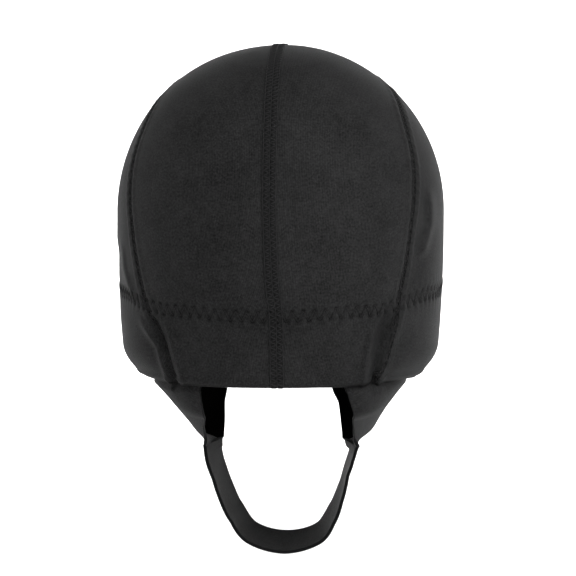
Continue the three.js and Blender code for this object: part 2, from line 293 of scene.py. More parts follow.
CREASES = (
    # Broad valleys along the foot of each side seam, and soft dents above the ears
    Crease(((-60, -131), (-48, -172)), -1.4, 6.5),
    Crease(((60, -128), (49, -172)), -1.4, 6.5),
    Crease(((80, -80), (66, -122)), -1.6, 9.0),
    Crease(((-81, -96), (-76, -128)), -1.4, 8.0),
    # Sharp folds inside the broad valleys, with a ridge on either side
    Crease(((-60, -132), (-54.3, -145), (-51.5, -152), (-49.8, -160), (-47.4, -172)), -1.8, 3.4, 0.2),
    Crease(((-68, -132), (-64.7, -139), (-59.1, -145.5), (-55.8, -150), (-51, -172)), 2.0, 2.5),
    Crease(((-56.4, -134), (-52, -137), (-49.7, -142), (-47.6, -152), (-43.3, -172)), 2.0, 2.5),
    Crease(((60.5, -127), (57, -136), (52.9, -150), (49.5, -166), (48.5, -172)), -1.8, 3.4, 0.2),
    Crease(((52.5, -131), (49, -150), (46.6, -165), (45.5, -172)), 2.2, 2.5),
    Crease(((66, -132), (62.6, -137), (57.3, -150.6), (52.8, -166), (51.5, -172)), 2.2, 2.5),
    # Soft ridges of the side panels, bowing down to the zigzag line
    Crease(((77.2, -68), (79.3, -81), (79.3, -89), (75.7, -102), (71, -108)), 1.1, 2.4, 0.3, 0.3),
    Crease(((73, -70), (75, -81), (75, -89), (71.5, -101), (68, -106)), -0.7, 3.2, 0.3, 0.3),
    Crease(((-79, -96), (-76.7, -113), (-68.9, -131.5)), 1.3, 2.8, 0.3, 0.3),
)


@dataclass(frozen=True)
class CapForm:
    """Outer form of the cap: a dome on walls, both of rounded plan."""

    wall: float = 2.0
    top: float = 2.0
    dome_base: float = -85.0
    dome_power: float = 2.04
    plan_power: float = 2.1
    turn_height: float = 17.0
    aim: Point = (0.0, 0.0, -95.0)
    far: float = 260.0
    halvings: int = 26
    slope_step: float = 0.05
    crease_top: float = -55.0

    def creases(self, p: Array) -> Array:
        """How far the creases lift the cloth at points.

        Args:
            p: Points, one a row.

        Returns:
            The lift at each of them.
        """
        lift = np.zeros(len(p))
        back = (p[:, 1] < 0) & (p[:, 2] < self.crease_top)
        x, z = p[back, 0], p[back, 2]
        lift[back] = sum(crease.lift(x, z) for crease in CREASES)
        return lift

    def value(self, p: Array) -> Array:
        """Below zero inside the form and above zero outside it.

        Args:
            p: Points, one a row.

        Returns:
            The value at each of them.
        """
        x, y, z = p.T
        low_z = np.minimum(z, self.dome_base)
        width = WALLS.at("width", low_z)
        depth = np.where(y < 0, WALLS.at("back", low_z), WALLS.at("front", low_z))
        bearing = bearing_of(p)
        low = np.clip(1 - (z - RIM.at("z", bearing)) / self.turn_height, 0, 1.3)
        inwards = RIM.at("turn", bearing) * low**2 - self.creases(p)
        across = (np.abs(x) / width) ** self.plan_power + (np.abs(y) / depth) ** self.plan_power
        plan = np.maximum(across ** (1 / self.plan_power) + inwards / width, 0)
        rise = np.maximum(0, (z - self.dome_base) / (self.top - self.dome_base))
        return plan**self.dome_power + rise**self.dome_power - 1

    def reach(self, start: Array, direction: Array) -> Array:
        """Distance from points inside the form to its surface along directions.

        Args:
            start: The points, or one point for all directions.
            direction: Directions one long, one a row.

        Returns:
            The distances.
        """
        low = np.zeros(len(direction))
        high = np.full(len(direction), self.far)
        for _ in range(self.halvings):
            middle = (low + high) / 2
            inside = self.value(start + direction * middle[:, None]) < 0
            low = np.where(inside, middle, low)
            high = np.where(inside, high, middle)
        return low

    def onto(self, p: Array) -> Array:
        """Points brought onto the form, along rays from the aim point.

        Args:
            p: Points, one a row.

        Returns:
            The points on the form.
        """
        aim = np.array(self.aim)
        direction = unit(p - aim)
        return aim + direction * self.reach(aim, direction)[:, None]

    def normal(self, p: Array) -> Array:
        """Outward normals of the form at points.

        Args:
            p: Points on it, one a row.

        Returns:
            The normals, one long.
        """
        slopes = []
        for step in np.eye(3) * self.slope_step:
            slopes.append(self.value(p + step) - self.value(p - step))
        return unit(np.stack(slopes, axis=1))

    def wall_point(self, bearing: Array, z: Array, side: Side) -> Array:
        """Points of the form at bearings in degrees and heights.

        Args:
            bearing: Bearings, 0 at the nape.
            z: Heights.
            side: The side that the bearings run round.

        Returns:
            The points, one a row.
        """
        turned = np.radians(bearing)
        flat = np.zeros_like(turned)
        direction = np.stack([np.sin(turned) * side.value, -np.cos(turned), flat], axis=1)
        start = np.stack([flat, flat, z + flat], axis=1)
        return start + direction * self.reach(start, direction)[:, None]

    def rim_point(self, bearing: Array, side: Side) -> Array:
        """Points of the lower edge at bearings."""
        return self.wall_point(bearing, RIM.at("z", np.abs(bearing)), side)

    def side_point(self, y: Array, z: Array, side: Side) -> Array:
        """Points of the form straight out to the side of places in the side view.

        Args:
            y: Places forwards.
            z: Their heights.
            side: The side that the points lie on.

        Returns:
            The points, one a row.
        """
        flat = np.zeros_like(y)
        start = np.stack([flat, y, z], axis=1)
        direction = np.stack([flat + side.value, flat, flat], axis=1)
        return start + direction * self.reach(start, direction)[:, None]


@dataclass
class SeamLines:
    """Seams between the panels, and the zigzag line that sews the flaps inside."""

    form: CapForm
    nape_bearing: float = 37.0
    nape_shift: float = 2.3
    forehead_bearing: float = 152.0
    centre_samples: int = 40
    stitching_end: float = 141.0
    stitching_samples: int = 500
    shift_behind: float = -20.0

    def centre(self, shares: Array) -> Array:
        """Points of the centre seam at shares of its length, from nape to forehead.

        Args:
            shares: The shares, from 0 to 1.

        Returns:
            The points, one a row.
        """
        aim = np.array(self.form.aim)
        ends = self.form.rim_point(np.array([0.0, 180.0]), Side.RIGHT)
        start = math.atan2(ends[0, 2] - aim[2], ends[0, 1]) + 2 * math.pi
        end = math.atan2(ends[1, 2] - aim[2], ends[1, 1])
        turned = np.linspace(start, end, self.centre_samples + 1)
        rays = np.stack([0 * turned, np.cos(turned), np.sin(turned)], axis=1)
        line = self.form.onto(rays + aim)
        line[:, 0] = np.where(line[:, 1] < 0, CENTRE_SEAM.at("x", line[:, 2]), 0)
        return smooth_line(self.form.onto(line), shares)

    def side(self, side: Side, shares: Array) -> Array:
        """Points of a side seam at shares of its length, from nape to forehead.

        Args:
            side: Which of the two seams.
            shares: The shares, from 0 to 1.

        Returns:
            The points, one a row.
        """
        y, z = np.array(SIDE_SEAM, float).T
        nape = self.nape_bearing
        if side is Side.RIGHT:
            y = y + np.where(y < self.shift_behind, RIGHT_SEAM_SHIFT.at("y", z), 0)
            nape += self.nape_shift
        ends = self.form.rim_point(np.array([nape, self.forehead_bearing]), side)
        controls = np.vstack([ends[:1], self.form.side_point(y, z, side), ends[1:]])
        line = smooth_line(controls, shares)
        line[1:-1] = self.form.onto(line[1:-1])
        return line

    def flap_stitching(self) -> Array:
        """Dense line of the zigzag stitching, from the left of the face round the back.

        Returns:
            Its points, one a row.
        """
        bearing = np.linspace(self.stitching_end, 0, self.stitching_samples)
        z = FLAP_STITCHING.at("z", bearing)
        left = self.form.wall_point(bearing, z, Side.LEFT)
        right = self.form.wall_point(bearing, z, Side.RIGHT)
        return np.vstack([left, right[-2::-1]])


class NearLine:
    """Distances from points to a line, with the place on it that each is nearest to."""

    def __init__(self, line: Array) -> None:
        """Sets up the search.

        Args:
            line: Points of the line, close together.
        """
        self.run = lengths_along(line)
        self.tree = KDTree(len(line))
        for i, point in enumerate(line):
            self.tree.insert(point, i)
        self.tree.balance()

    def find(self, points: Array) -> tuple[Array, Array]:
        """Finds the nearest place on the line.

        Args:
            points: Points, one a row.

        Returns:
            Distance from each point to the line, and distance along the line to its place.
        """
        found = [self.tree.find(point) for point in points]
        return np.array([f[2] for f in found]), self.run[[f[1] for f in found]]


@dataclass
class Relief:
    """Small relief of the panels' outer faces: seams, stitching, rolled edge and slack.

    The band is the flat strip to either side of the centre seam. Shoulders are the cloth's rise
    beside the side seams, whose relief swells and sinks along them. A reach is the distance over
    which a bump dies out. The shade values set the painted shade of each place, from 0 to 1.
    """

    form: CapForm
    seams: SeamLines
    band: float = 3.3
    band_ease: float = 0.7
    band_fall: float = 1.1
    centre_rise: float = 0.5
    centre_groove: float = 0.3
    centre_groove_reach: float = 0.6
    band_groove: float = 0.3
    band_groove_reach: float = 0.5
    side_groove: float = 1.0
    side_groove_reach: float = 1.2
    shoulder: float = 0.35
    shoulder_from_seam: float = 4.2
    shoulder_reach: float = 1.7
    swell: float = 0.35
    swell_pitch: float = 5.2
    zigzag_width: float = 5.0
    zigzag_pitch: float = 5.5
    hole_depth: float = 0.7
    hole_reach: float = 1.1
    groove_depth: float = 0.2
    groove_reach: float = 0.75
    pucker: float = 0.11
    pucker_reach: float = 6.5
    edge_roll: float = 0.8
    edge_roll_height: float = 2.7
    edge_roll_reach: float = 1.5
    slack: float = 0.35
    slack_size: float = 34.0
    slack_from_edge: float = 12.0
    shade_centre: float = 0.6
    shade_centre_ease: float = 0.8
    shade_centre_fall: float = 1.2
    shade_side: float = 0.62
    shade_side_swell: float = 0.38
    shade_side_reach: float = 1.7
    shade_edge: float = 0.95
    shade_edge_reach: float = 1.6
    shade_leg: float = 0.3
    shade_leg_reach: float = 0.8
    shade_hole: float = 0.75
    samples: int = 1400
    leg_step: float = 0.05
    tips: Array = field(init=False)
    centre_line: NearLine = field(init=False)
    side_lines: dict[Side, NearLine] = field(init=False)
    legs: NearLine = field(init=False)
    holes: NearLine = field(init=False)
    middle: NearLine = field(init=False)

    def __post_init__(self) -> None:
        """Lays the stitches out and sets up the searches."""
        shares = np.linspace(0, 1, self.samples)
        self.centre_line = NearLine(self.seams.centre(shares))
        self.side_lines = {side: NearLine(self.seams.side(side, shares)) for side in Side}
        self.tips = self.zigzag_tips()
        start, end = self.tips[:-1], self.tips[1:]
        legs = [start + (end - start) * t for t in np.arange(0, 1, self.leg_step)]
        self.legs = NearLine(np.stack(legs, axis=1).reshape(-1, 3))
        self.holes = NearLine(self.tips)
        self.middle = NearLine(self.seams.flap_stitching())

    def zigzag_tips(self) -> Array:
        """Needle holes of the zigzag line, up and down by turns, half a pitch apart.

        Returns:
            Their points on the form, one a row.
        """
        dense = self.seams.flap_stitching()
        run = lengths_along(dense)
        count = int(run[-1] // (self.zigzag_pitch / 2))
        middle = resample(dense, np.linspace(0, 1, count + 1))
        along = unit(np.gradient(middle, axis=0))
        up = unit(np.cross(along, self.form.normal(middle)))
        up *= np.sign(up[:, 2:])
        turns = np.where(np.arange(count + 1) % 2 == 0, 0.5, -0.5)[:, None]
        return self.form.onto(middle + up * self.zigzag_width * turns)

    def height(self, p: Array, normal: Array) -> Array:
        """How far the relief stands out at points of the form.

        Args:
            p: Points on the form.
            normal: Its outward normals there.

        Returns:
            Height along the normals.
        """
        from_centre, _ = self.centre_line.find(p)
        side = np.where(p[:, 0] < 0, Side.LEFT.value, Side.RIGHT.value)
        from_side = np.zeros(len(p))
        along_side = np.zeros(len(p))
        for one, line in self.side_lines.items():
            mine = side == one.value
            from_side[mine], along_side[mine] = line.find(p[mine])
        centre = self.centre_rise * smooth((self.band + self.band_ease - from_centre) / self.band_fall)
        centre -= self.centre_groove * bell(from_centre, self.centre_groove_reach)
        centre -= self.band_groove * bell(from_centre - self.band, self.band_groove_reach)
        seam = -self.side_groove * bell(from_side, self.side_groove_reach)
        seam += self.shoulder * bell(from_side - self.shoulder_from_seam, self.shoulder_reach)
        seam *= 1 + self.swell * np.sin(along_side * 2 * math.pi / self.swell_pitch)
        from_leg, _ = self.legs.find(p)
        from_hole, _ = self.holes.find(p)
        from_middle, along = self.middle.find(p)
        stitching = -self.groove_depth * bell(from_leg, self.groove_reach)
        stitching -= self.hole_depth * bell(from_hole, self.hole_reach)
        wave = np.cos(along * 2 * math.pi / self.zigzag_pitch)
        stitching += self.pucker * wave * bell(from_middle, self.pucker_reach)
        over = p[:, 2] - RIM.at("z", bearing_of(p))
        roll = self.edge_roll * bell(over - self.edge_roll_height, self.edge_roll_reach)
        slack = np.array([noise.noise(Vector(q) / self.slack_size) for q in p]) * self.slack
        slack *= smooth(over / self.slack_from_edge)
        return centre + seam + stitching + roll + slack

    def shade(self, p: Array) -> Array:
        """Painted shade of points in seams, in stitch holes and along the lower edge, from 0 to 1.

        Args:
            p: Points on the form.

        Returns:
            The painted shade at each of them, which the finish darkens the colour by.
        """
        from_centre, _ = self.centre_line.find(p)
        found = [line.find(p) for line in self.side_lines.values()]
        from_side = np.minimum(found[0][0], found[1][0])
        along_side = np.where(found[0][0] < found[1][0], found[0][1], found[1][1])
        swell = np.sin(along_side * 2 * math.pi / self.swell_pitch)
        blobs = self.shade_side + self.shade_side_swell * swell
        from_leg, _ = self.legs.find(p)
        from_hole, _ = self.holes.find(p)
        in_band = (self.band + self.shade_centre_ease - from_centre) / self.shade_centre_fall
        painted_shade = self.shade_centre * smooth(in_band)
        over = p[:, 2] - RIM.at("z", bearing_of(p))
        painted_shade = np.maximum(painted_shade, self.shade_edge * bell(over, self.shade_edge_reach))
        painted_shade = np.maximum(painted_shade, blobs * bell(from_side, self.shade_side_reach))
        painted_shade = np.maximum(painted_shade, self.shade_leg * bell(from_leg, self.shade_leg_reach))
        return np.maximum(painted_shade, self.shade_hole * bell(from_hole, self.hole_reach))


@dataclass
class ClothBody:
    """A wall of cloth between two grids of points, with a rounded edge all round."""

    name: str
    outer: Array
    inner: Array
    bulge: float = 0.35
    edge_steps: int = 4
    shade: Array | None = None
    lapped: Array | None = None

    def ring(self) -> tuple[Array, Array]:
        """Rows and columns of the grid's edge, once round.

        Returns:
            The rows, and the columns that go with them.
        """
        rows, columns = self.outer.shape[:2]
        across = np.arange(columns)
        down = np.arange(1, rows)
        r = np.concatenate([0 * across, down, 0 * across[:-1] + rows - 1, down[:-1][::-1]])
        c = np.concatenate([across, 0 * down + columns - 1, across[:-1][::-1], 0 * down[:-1]])
        return r, c

    def edge_loops(self) -> Array:
        """Points between the two faces, on a bulging half round, one loop a row.

        Returns:
            Loops by points of the ring.
        """
        rows, columns = self.outer.shape[:2]
        r, c = self.ring()
        outer, inner = self.outer[r, c], self.inner[r, c]
        thick = outer - inner
        within = self.outer[np.clip(r, 1, rows - 2), np.clip(c, 1, columns - 2)]
        away = outer - within
        away -= thick * np.sum(away * thick, axis=1, keepdims=True) / np.sum(thick**2, axis=1, keepdims=True)
        away = unit(away)
        turned = math.pi * np.arange(1, self.edge_steps) / self.edge_steps
        middle = (outer + inner) / 2
        return np.stack([middle + thick / 2 * math.cos(a) + away * self.bulge * math.sin(a) for a in turned])

    def faces(self) -> tuple[Array, Array]:
        """Four-sided faces of the whole wall, each with its part.

        Returns:
            The faces' corners, and the part of the wall that each belongs to.
        """
        rows, columns = self.outer.shape[:2]
        index = np.arange(rows * columns).reshape(rows, columns)
        corners = (index[:-1, :-1], index[:-1, 1:], index[1:, 1:], index[1:, :-1])
        outer = np.stack([corner.ravel() for corner in corners], axis=1)
        inner = outer[:, ::-1] + rows * columns
        r, c = self.ring()
        first = index[r, c]
        count = len(first)
        loops = [first]
        for k in range(self.edge_steps - 1):
            loops.append(2 * rows * columns + k * count + np.arange(count))
        loops.append(first + rows * columns)
        strips = []
        for one, other in zip(loops[:-1], loops[1:]):
            strips.append(np.stack([np.roll(one, -1), one, other, np.roll(other, -1)], axis=1))
        edge = np.vstack(strips)
        parts = [Face.OUTER.value, Face.INNER.value, Face.EDGE.value]
        part = np.repeat(parts, [len(outer), len(inner), len(edge)])
        if self.lapped is not None:
            inner_parts = np.where(self.lapped.ravel(), Face.LAPPED.value, Face.INNER.value)
            part[len(outer) : len(outer) + len(inner)] = inner_parts
        return np.vstack([outer, inner, edge]), part

    def cloth_places(self) -> Array:
        """Distance across and along the cloth for each point of the grid.

        Returns:
            Rows by columns of pairs.
        """
        across = np.linalg.norm(np.diff(self.outer, axis=1), axis=2)
        along = np.linalg.norm(np.diff(self.outer, axis=0), axis=2)
        u = np.pad(np.cumsum(across, axis=1), ((0, 0), (1, 0)))
        v = np.pad(np.cumsum(along, axis=0), ((1, 0), (0, 0)))
        middle = self.outer.shape[1] // 2
        u -= u[:, middle : middle + 1]
        return np.stack([u, v], axis=2)

    def flat_size(self) -> tuple[float, float]:
        """Widest run across the cloth and longest run along it, in millimetres.

        Returns:
            The width and the length.
        """
        places = self.cloth_places()
        width = (places[:, -1, 0] - places[:, 0, 0]).max()
        return float(width), float(places[-1, :, 1].max())

    def build(self, materials: Sequence[bpy.types.Material]) -> bpy.types.Object:
        """Makes the mesh object.

        Args:
            materials: Finishes of the outer face, the inner face, the edge and the lapped part
                of the inner face, if it has one.

        Returns:
            The object, in metres, at the origin.
        """
        edge = self.edge_loops()
        points = np.vstack([self.outer.reshape(-1, 3), self.inner.reshape(-1, 3), edge.reshape(-1, 3)])
        faces, part = self.faces()
        if signed_volume(points, faces) < 0:
            faces = faces[:, ::-1]
        mesh = bpy.data.meshes.new(self.name)
        mesh.from_pydata((points * MM).tolist(), [], faces.tolist())
        mesh.polygons.foreach_set("material_index", part.astype(np.int32))
        mesh.polygons.foreach_set("use_smooth", np.ones(len(faces), bool))
        places = self.cloth_places().reshape(-1, 2)
        r, c = self.ring()
        columns = self.outer.shape[1]
        ring_places = np.tile(places[r * columns + c], (self.edge_steps - 1, 1))
        places = np.vstack([places, places, ring_places]) * MM
        corner = np.zeros(len(mesh.loops), np.int32)
        mesh.loops.foreach_get("vertex_index", corner)
        mesh.uv_layers.new(name="cloth").data.foreach_set("uv", places[corner].astype(np.float32).ravel())
        # Painted shade of the seams, stitch holes and lower edge, for the finish to darken by
        shade = np.zeros(len(points), np.float32)
        if self.shade is not None:
            shade[: self.shade.size] = self.shade.ravel()
        mesh.attributes.new("painted_shade", "FLOAT", "POINT").data.foreach_set("value", shade)
        for material in materials:
            mesh.materials.append(material)
        mesh.validate()
        return add_object(self.name, mesh)


def signed_volume(points: Array, faces: Array) -> float:
    """Volume of a closed mesh of four-sided faces, above zero if they point outwards.

    Args:
        points: The mesh's points.
        faces: The faces' corners.

    Returns:
        The volume.
    """
    a, b, c, d = (points[faces[:, k]] for k in range(4))
    halves = np.sum(a * np.cross(b, c), axis=1) + np.sum(a * np.cross(c, d), axis=1)
    return float(halves.sum() / 6)


def cloth_area(piece: bpy.types.Object) -> float:
    """Area of the cloth in a wall: half of its surface, in square metres.

    Args:
        piece: The wall's object.

    Returns:
        The area.
    """
    areas = np.zeros(len(piece.data.polygons), np.float32)
    piece.data.polygons.foreach_get("area", areas)
    return float(areas.sum() / 2)


def settle(piece: bpy.types.Object, node: str | None = None) -> None:
    """Fixes a finished piece to the cap's body and reports it.

    Args:
        piece: The finished object.
        node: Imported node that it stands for, if any.
    """
    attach(piece, BODY)
    if node:
        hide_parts(node)
    triangles = sum(len(face.vertices) - 2 for face in piece.data.polygons)
    LOG.info("%s: %d triangles", piece.name, triangles)


def declare_sheet(
    piece: bpy.types.Object, body: ClothBody
) -> None:
    """Reports the flat size and cloth area of a piece, as its own wall measures them.

    Args:
        piece: The finished object.
        body: The wall that it was made from.
    """
    width, length = (size * MM for size in body.flat_size())
    area = min(cloth_area(piece), width * length)
    LOG.info("%s: flat %.0f x %.0f mm, %.0f cm2", piece.name, width / MM, length / MM, area * 1e4)


class Nodes:
    """Adds and joins the nodes of one tree."""

    def __init__(self, tree: bpy.types.NodeTree) -> None:
        """Keeps the tree.

        Args:
            tree: A shader or geometry node tree.
        """
        self.tree = tree

    def add(self, kind: str, inputs: dict | None = None, **settings: object) -> bpy.types.Node:
        """Adds a node.

        Args:
            kind: The node's type.
            inputs: Values or sockets by the name or number of the input that they go to.
            settings: The node's own settings.

        Returns:
            The node.
        """
        node = self.tree.nodes.new(kind)
        for name, value in settings.items():
            setattr(node, name, value)
        self.feed(node, inputs or {})
        return node

    def feed(self, node: bpy.types.Node, inputs: dict) -> None:
        """Sets or links inputs of a node.

        Args:
            node: The node.
            inputs: Values or sockets by the name or number of the input that they go to.
        """
        for key, value in inputs.items():
            if isinstance(value, Socket):
                self.tree.links.new(value, node.inputs[key])
            else:
                node.inputs[key].default_value = value

    def surface(self, inputs: dict) -> None:
        """Sets or links inputs of a material's surface shader."""
        self.feed(self.tree.nodes["Principled BSDF"], inputs)

    def math(self, operation: str, *values: Socket | float) -> Socket:
        """Result of a sum on values or sockets."""
        kind = "ShaderNodeMath"
        return self.add(kind, dict(enumerate(values)), operation=operation).outputs[0]

    def noise(self, place: Socket, size: float, detail: float = 2.0) -> Socket:
        """Noise of a grain size in millimetres, about one half."""
        inputs = {"Vector": place, "Scale": 1 / (size * MM), "Detail": detail}
        return self.add("ShaderNodeTexNoise", inputs).outputs[0]

    def blend(self, share: Socket, first: Colour | Socket, second: Colour) -> Socket:
        """Blends two colours.

        Args:
            share: Share of the second colour.
            first: The colour at share 0.
            second: The colour at share 1.

        Returns:
            The blended colour.
        """
        start = first if isinstance(first, Socket) else (*first, 1)
        mix = self.add("ShaderNodeMix", {0: share, 6: start, 7: (*second, 1)}, data_type="RGBA")
        return mix.outputs[2]

    def bump(self, height: Socket, strength: float, depth: float) -> Socket:
        """Normal of a surface with a relief of a depth in millimetres."""
        inputs = {"Height": height, "Strength": strength, "Distance": depth * MM}
        return self.add("ShaderNodeBump", inputs).outputs[0]


def new_material(name: str) -> tuple[bpy.types.Material, Nodes]:
    """Starts a material.

    Args:
        name: Name of the material.

    Returns:
        The material and its nodes, with a plain surface shader.
    """
    material = bpy.data.materials.new(name)
    material.use_nodes = True
    return material, Nodes(material.node_tree)


def scaled(colour: Colour, factor: float) -> Colour:
    """A colour made lighter or darker."""
    return tuple(factor * value for value in colour)


def new_group(name: str, inputs: dict[str, str], outputs: dict[str, str]) -> tuple[Nodes, dict, dict]:
    """Starts a shader node group.

    Args:
        name: Name of the group.
        inputs: Socket types by the names of its inputs.
        outputs: Socket types by the names of its outputs.

    Returns:
        Its nodes, its inputs' sockets inside, and the sockets that its outputs are fed by.
    """
    tree = bpy.data.node_groups.new(name, "ShaderNodeTree")
    for socket, kind in inputs.items():
        tree.interface.new_socket(socket, in_out="INPUT", socket_type=kind)
    for socket, kind in outputs.items():
        tree.interface.new_socket(socket, in_out="OUTPUT", socket_type=kind)
    nodes = Nodes(tree)
    start = nodes.add("NodeGroupInput")
    end = nodes.add("NodeGroupOutput")
    return nodes, {s: start.outputs[s] for s in inputs}, {s: end.inputs[s] for s in outputs}


def knit_group() -> bpy.types.NodeTree:
    """Group for the knitted face of the cloth: its loops, their unevenness and blotches.

    Returns:
        The group; its shade is about one half, and its height stands on the loops.
    """
    inputs = {
        "Place": "NodeSocketVector",
        "Loop": "NodeSocketFloat",
        "Loops": "NodeSocketFloat",
        "Speckle": "NodeSocketFloat",
        "Blotches": "NodeSocketFloat",
    }
    nodes, given, out = new_group(
        "knit", inputs, {"Shade": "NodeSocketFloat", "Height": "NodeSocketFloat"}
    )
    courses_per_wale, chevron_lean, chevron_depth = 2.4, 2.2, 0.3
    speckle_size, patch_size, blotch_size = 1.1, 4.5, 24.0
    patch_share = 0.25
    apart = nodes.add("ShaderNodeSeparateXYZ", {0: given["Place"]})
    turn = nodes.math("DIVIDE", math.pi, given["Loop"])
    wale = nodes.math("ABSOLUTE", nodes.math("SINE", nodes.math("MULTIPLY", apart.outputs[0], turn)))
    course = nodes.math("MULTIPLY", apart.outputs[1], nodes.math("MULTIPLY", turn, courses_per_wale))
    lean = nodes.math("MULTIPLY", wale, chevron_lean)
    chevron = nodes.math("SINE", nodes.math("ADD", course, lean))
    shape = nodes.math("MULTIPLY_ADD", chevron, chevron_depth, 1 - chevron_depth)
    loops = nodes.math("MULTIPLY", wale, shape)
    speckle = nodes.noise(given["Place"], speckle_size)
    patches = nodes.noise(given["Place"], patch_size)
    blotch = nodes.noise(given["Place"], blotch_size)
    fine = nodes.math("MULTIPLY", speckle, 1 - patch_share)
    mixed = nodes.math("MULTIPLY_ADD", patches, patch_share, fine)
    shade = nodes.math("MULTIPLY", nodes.math("SUBTRACT", loops, 0.5), given["Loops"])
    uneven = nodes.math("MULTIPLY", nodes.math("SUBTRACT", mixed, 0.5), given["Speckle"])
    wide = nodes.math("MULTIPLY", nodes.math("SUBTRACT", blotch, 0.5), given["Blotches"])
    total = nodes.math("ADD", nodes.math("ADD", shade, uneven), nodes.math("ADD", wide, 0.5))
    height = nodes.math("ADD", loops, nodes.math("MULTIPLY", speckle, 0.8))
    nodes.tree.links.new(total, out["Shade"])
    nodes.tree.links.new(height, out["Height"])
    return nodes.tree


def lint_group() -> bpy.types.NodeTree:
    """Group for sparse pale lint and rubbed spots on dark cloth.

    Returns:
        The group; its mask is 1 on lint.
    """
    nodes, given, out = new_group("lint", {"Place": "NodeSocketVector"}, {"Mask": "NodeSocketFloat"})
    speck_size, area_size = 0.9, 11.0
    specks = nodes.noise(given["Place"], speck_size, 1.0)
    areas = nodes.noise(given["Place"], area_size)
    few = nodes.math("MULTIPLY", nodes.math("SUBTRACT", specks, 0.64), 7.0)
    here = nodes.math("MULTIPLY", nodes.math("SUBTRACT", areas, 0.35), 3.0)
    for value in (few, here):
        value.node.use_clamp = True
    mask = nodes.math("MULTIPLY", few, here)
    nodes.tree.links.new(mask, out["Mask"])
    return nodes.tree


@dataclass(frozen=True)
class ClothFinish:
    """Knitted face of foam cloth: a dark colour, uneven and slightly worn.

    Loop is the width of a knitted loop and relief depth that of the bumps, in millimetres. Loops,
    speckle and blotches are the contrasts of the grain, and lint that of the pale specks. The shade
    painted into seams, stitch holes and the lower edge has its own strength and darkest colour.
    """

    name: str
    dark: Colour
    light: Colour
    roughness: float = 0.62
    roughness_swing: float = 0.12
    specular: float = 0.09
    loop: float = 0.85
    loops: float = 0.5
    speckle: float = 2.0
    blotches: float = 0.7
    lint: float = 0.35
    lint_light: float = 2.4
    painted_shade: float = 0.8
    painted_shade_dark: float = 0.25
    relief: float = 0.6
    relief_depth: float = 0.12

    def material(self, knit: bpy.types.NodeTree, lint: bpy.types.NodeTree) -> bpy.types.Material:
        """Makes the material.

        Args:
            knit: The group of the knitted face.
            lint: The group of lint.

        Returns:
            The material.
        """
        material, nodes = new_material(self.name)
        place = nodes.add("ShaderNodeUVMap", uv_map="cloth").outputs[0]
        knitted = {
            "Place": place,
            "Loop": self.loop * MM,
            "Loops": self.loops,
            "Speckle": self.speckle,
            "Blotches": self.blotches,
        }
        grain = nodes.add("ShaderNodeGroup", knitted, node_tree=knit).outputs
        dust = nodes.add("ShaderNodeGroup", {"Place": place}, node_tree=lint).outputs["Mask"]
        painted_shade = nodes.add("ShaderNodeAttribute", attribute_name="painted_shade").outputs["Fac"]
        colour = nodes.blend(grain["Shade"], self.dark, self.light)
        linty = nodes.math("MULTIPLY", dust, self.lint)
        worn = nodes.blend(linty, colour, scaled(self.light, self.lint_light))
        # Painted shade: the colour darkens towards its darkest shade in seams, stitch holes and along the
        # lower edge
        painted_shade_share = nodes.math("MULTIPLY", painted_shade, self.painted_shade)
        least = self.roughness - self.roughness_swing / 2
        nodes.surface(
            {
                "Base Color": nodes.blend(painted_shade_share, worn, scaled(self.dark, self.painted_shade_dark)),
                "Roughness": nodes.math("MULTIPLY_ADD", grain["Shade"], self.roughness_swing, least),
                "Normal": nodes.bump(grain["Height"], self.relief, self.relief_depth),
                "Specular IOR Level": self.specular,
            }
        )
        return material


@dataclass(frozen=True)
class FoamFinish:
    """Cut edge of the foam between the cloth's two knitted faces."""

    name: str
    colour: Colour
    pore: float = 0.35
    contrast: float = 0.4
    roughness: float = 0.95
    specular: float = 0.15
    relief: float = 0.5
    relief_depth: float = 0.1

    def material(self) -> bpy.types.Material:
        """Makes the material.

        Returns:
            The material.
        """
        material, nodes = new_material(self.name)
        place = nodes.add("ShaderNodeTexCoord").outputs["Object"]
        pores = nodes.noise(place, self.pore)
        dark, light = (scaled(self.colour, 1 + swing) for swing in (-self.contrast, self.contrast))
        nodes.surface(
            {
                "Base Color": nodes.blend(pores, dark, light),
                "Normal": nodes.bump(pores, self.relief, self.relief_depth),
                "Roughness": self.roughness,
                "Specular IOR Level": self.specular,
            }
        )
        return material


@dataclass(frozen=True)
class ThreadFinish:
    """Spun thread, slightly glossy, with its twist and uneven dye."""

    name: str
    colour: Colour
    twist: float = 0.45
    contrast: float = 0.45
    roughness: float = 0.62
    specular: float = 0.35
    dye_size: float = 6.0
    relief: float = 0.4
    relief_depth: float = 0.05

    def material(self) -> bpy.types.Material:
        """Makes the material.

        Returns:
            The material.
        """
        material, nodes = new_material(self.name)
        place = nodes.add("ShaderNodeTexCoord").outputs["Object"]
        inputs = {"Vector": place, "Scale": 1 / (self.twist * MM), "Distortion": 1.5, "Detail": 1.0}
        strands = nodes.add("ShaderNodeTexWave", inputs, bands_direction="DIAGONAL").outputs["Fac"]
        dye = nodes.noise(place, self.dye_size)
        shade = nodes.math("MULTIPLY_ADD", strands, 0.5, nodes.math("MULTIPLY", dye, 0.5))
        dark, light = (scaled(self.colour, 1 + swing) for swing in (-self.contrast, self.contrast))
        nodes.surface(
            {
                "Base Color": nodes.blend(shade, dark, light),
                "Normal": nodes.bump(strands, self.relief, self.relief_depth),
                "Roughness": self.roughness,
                "Specular IOR Level": self.specular,
            }
        )
        return material


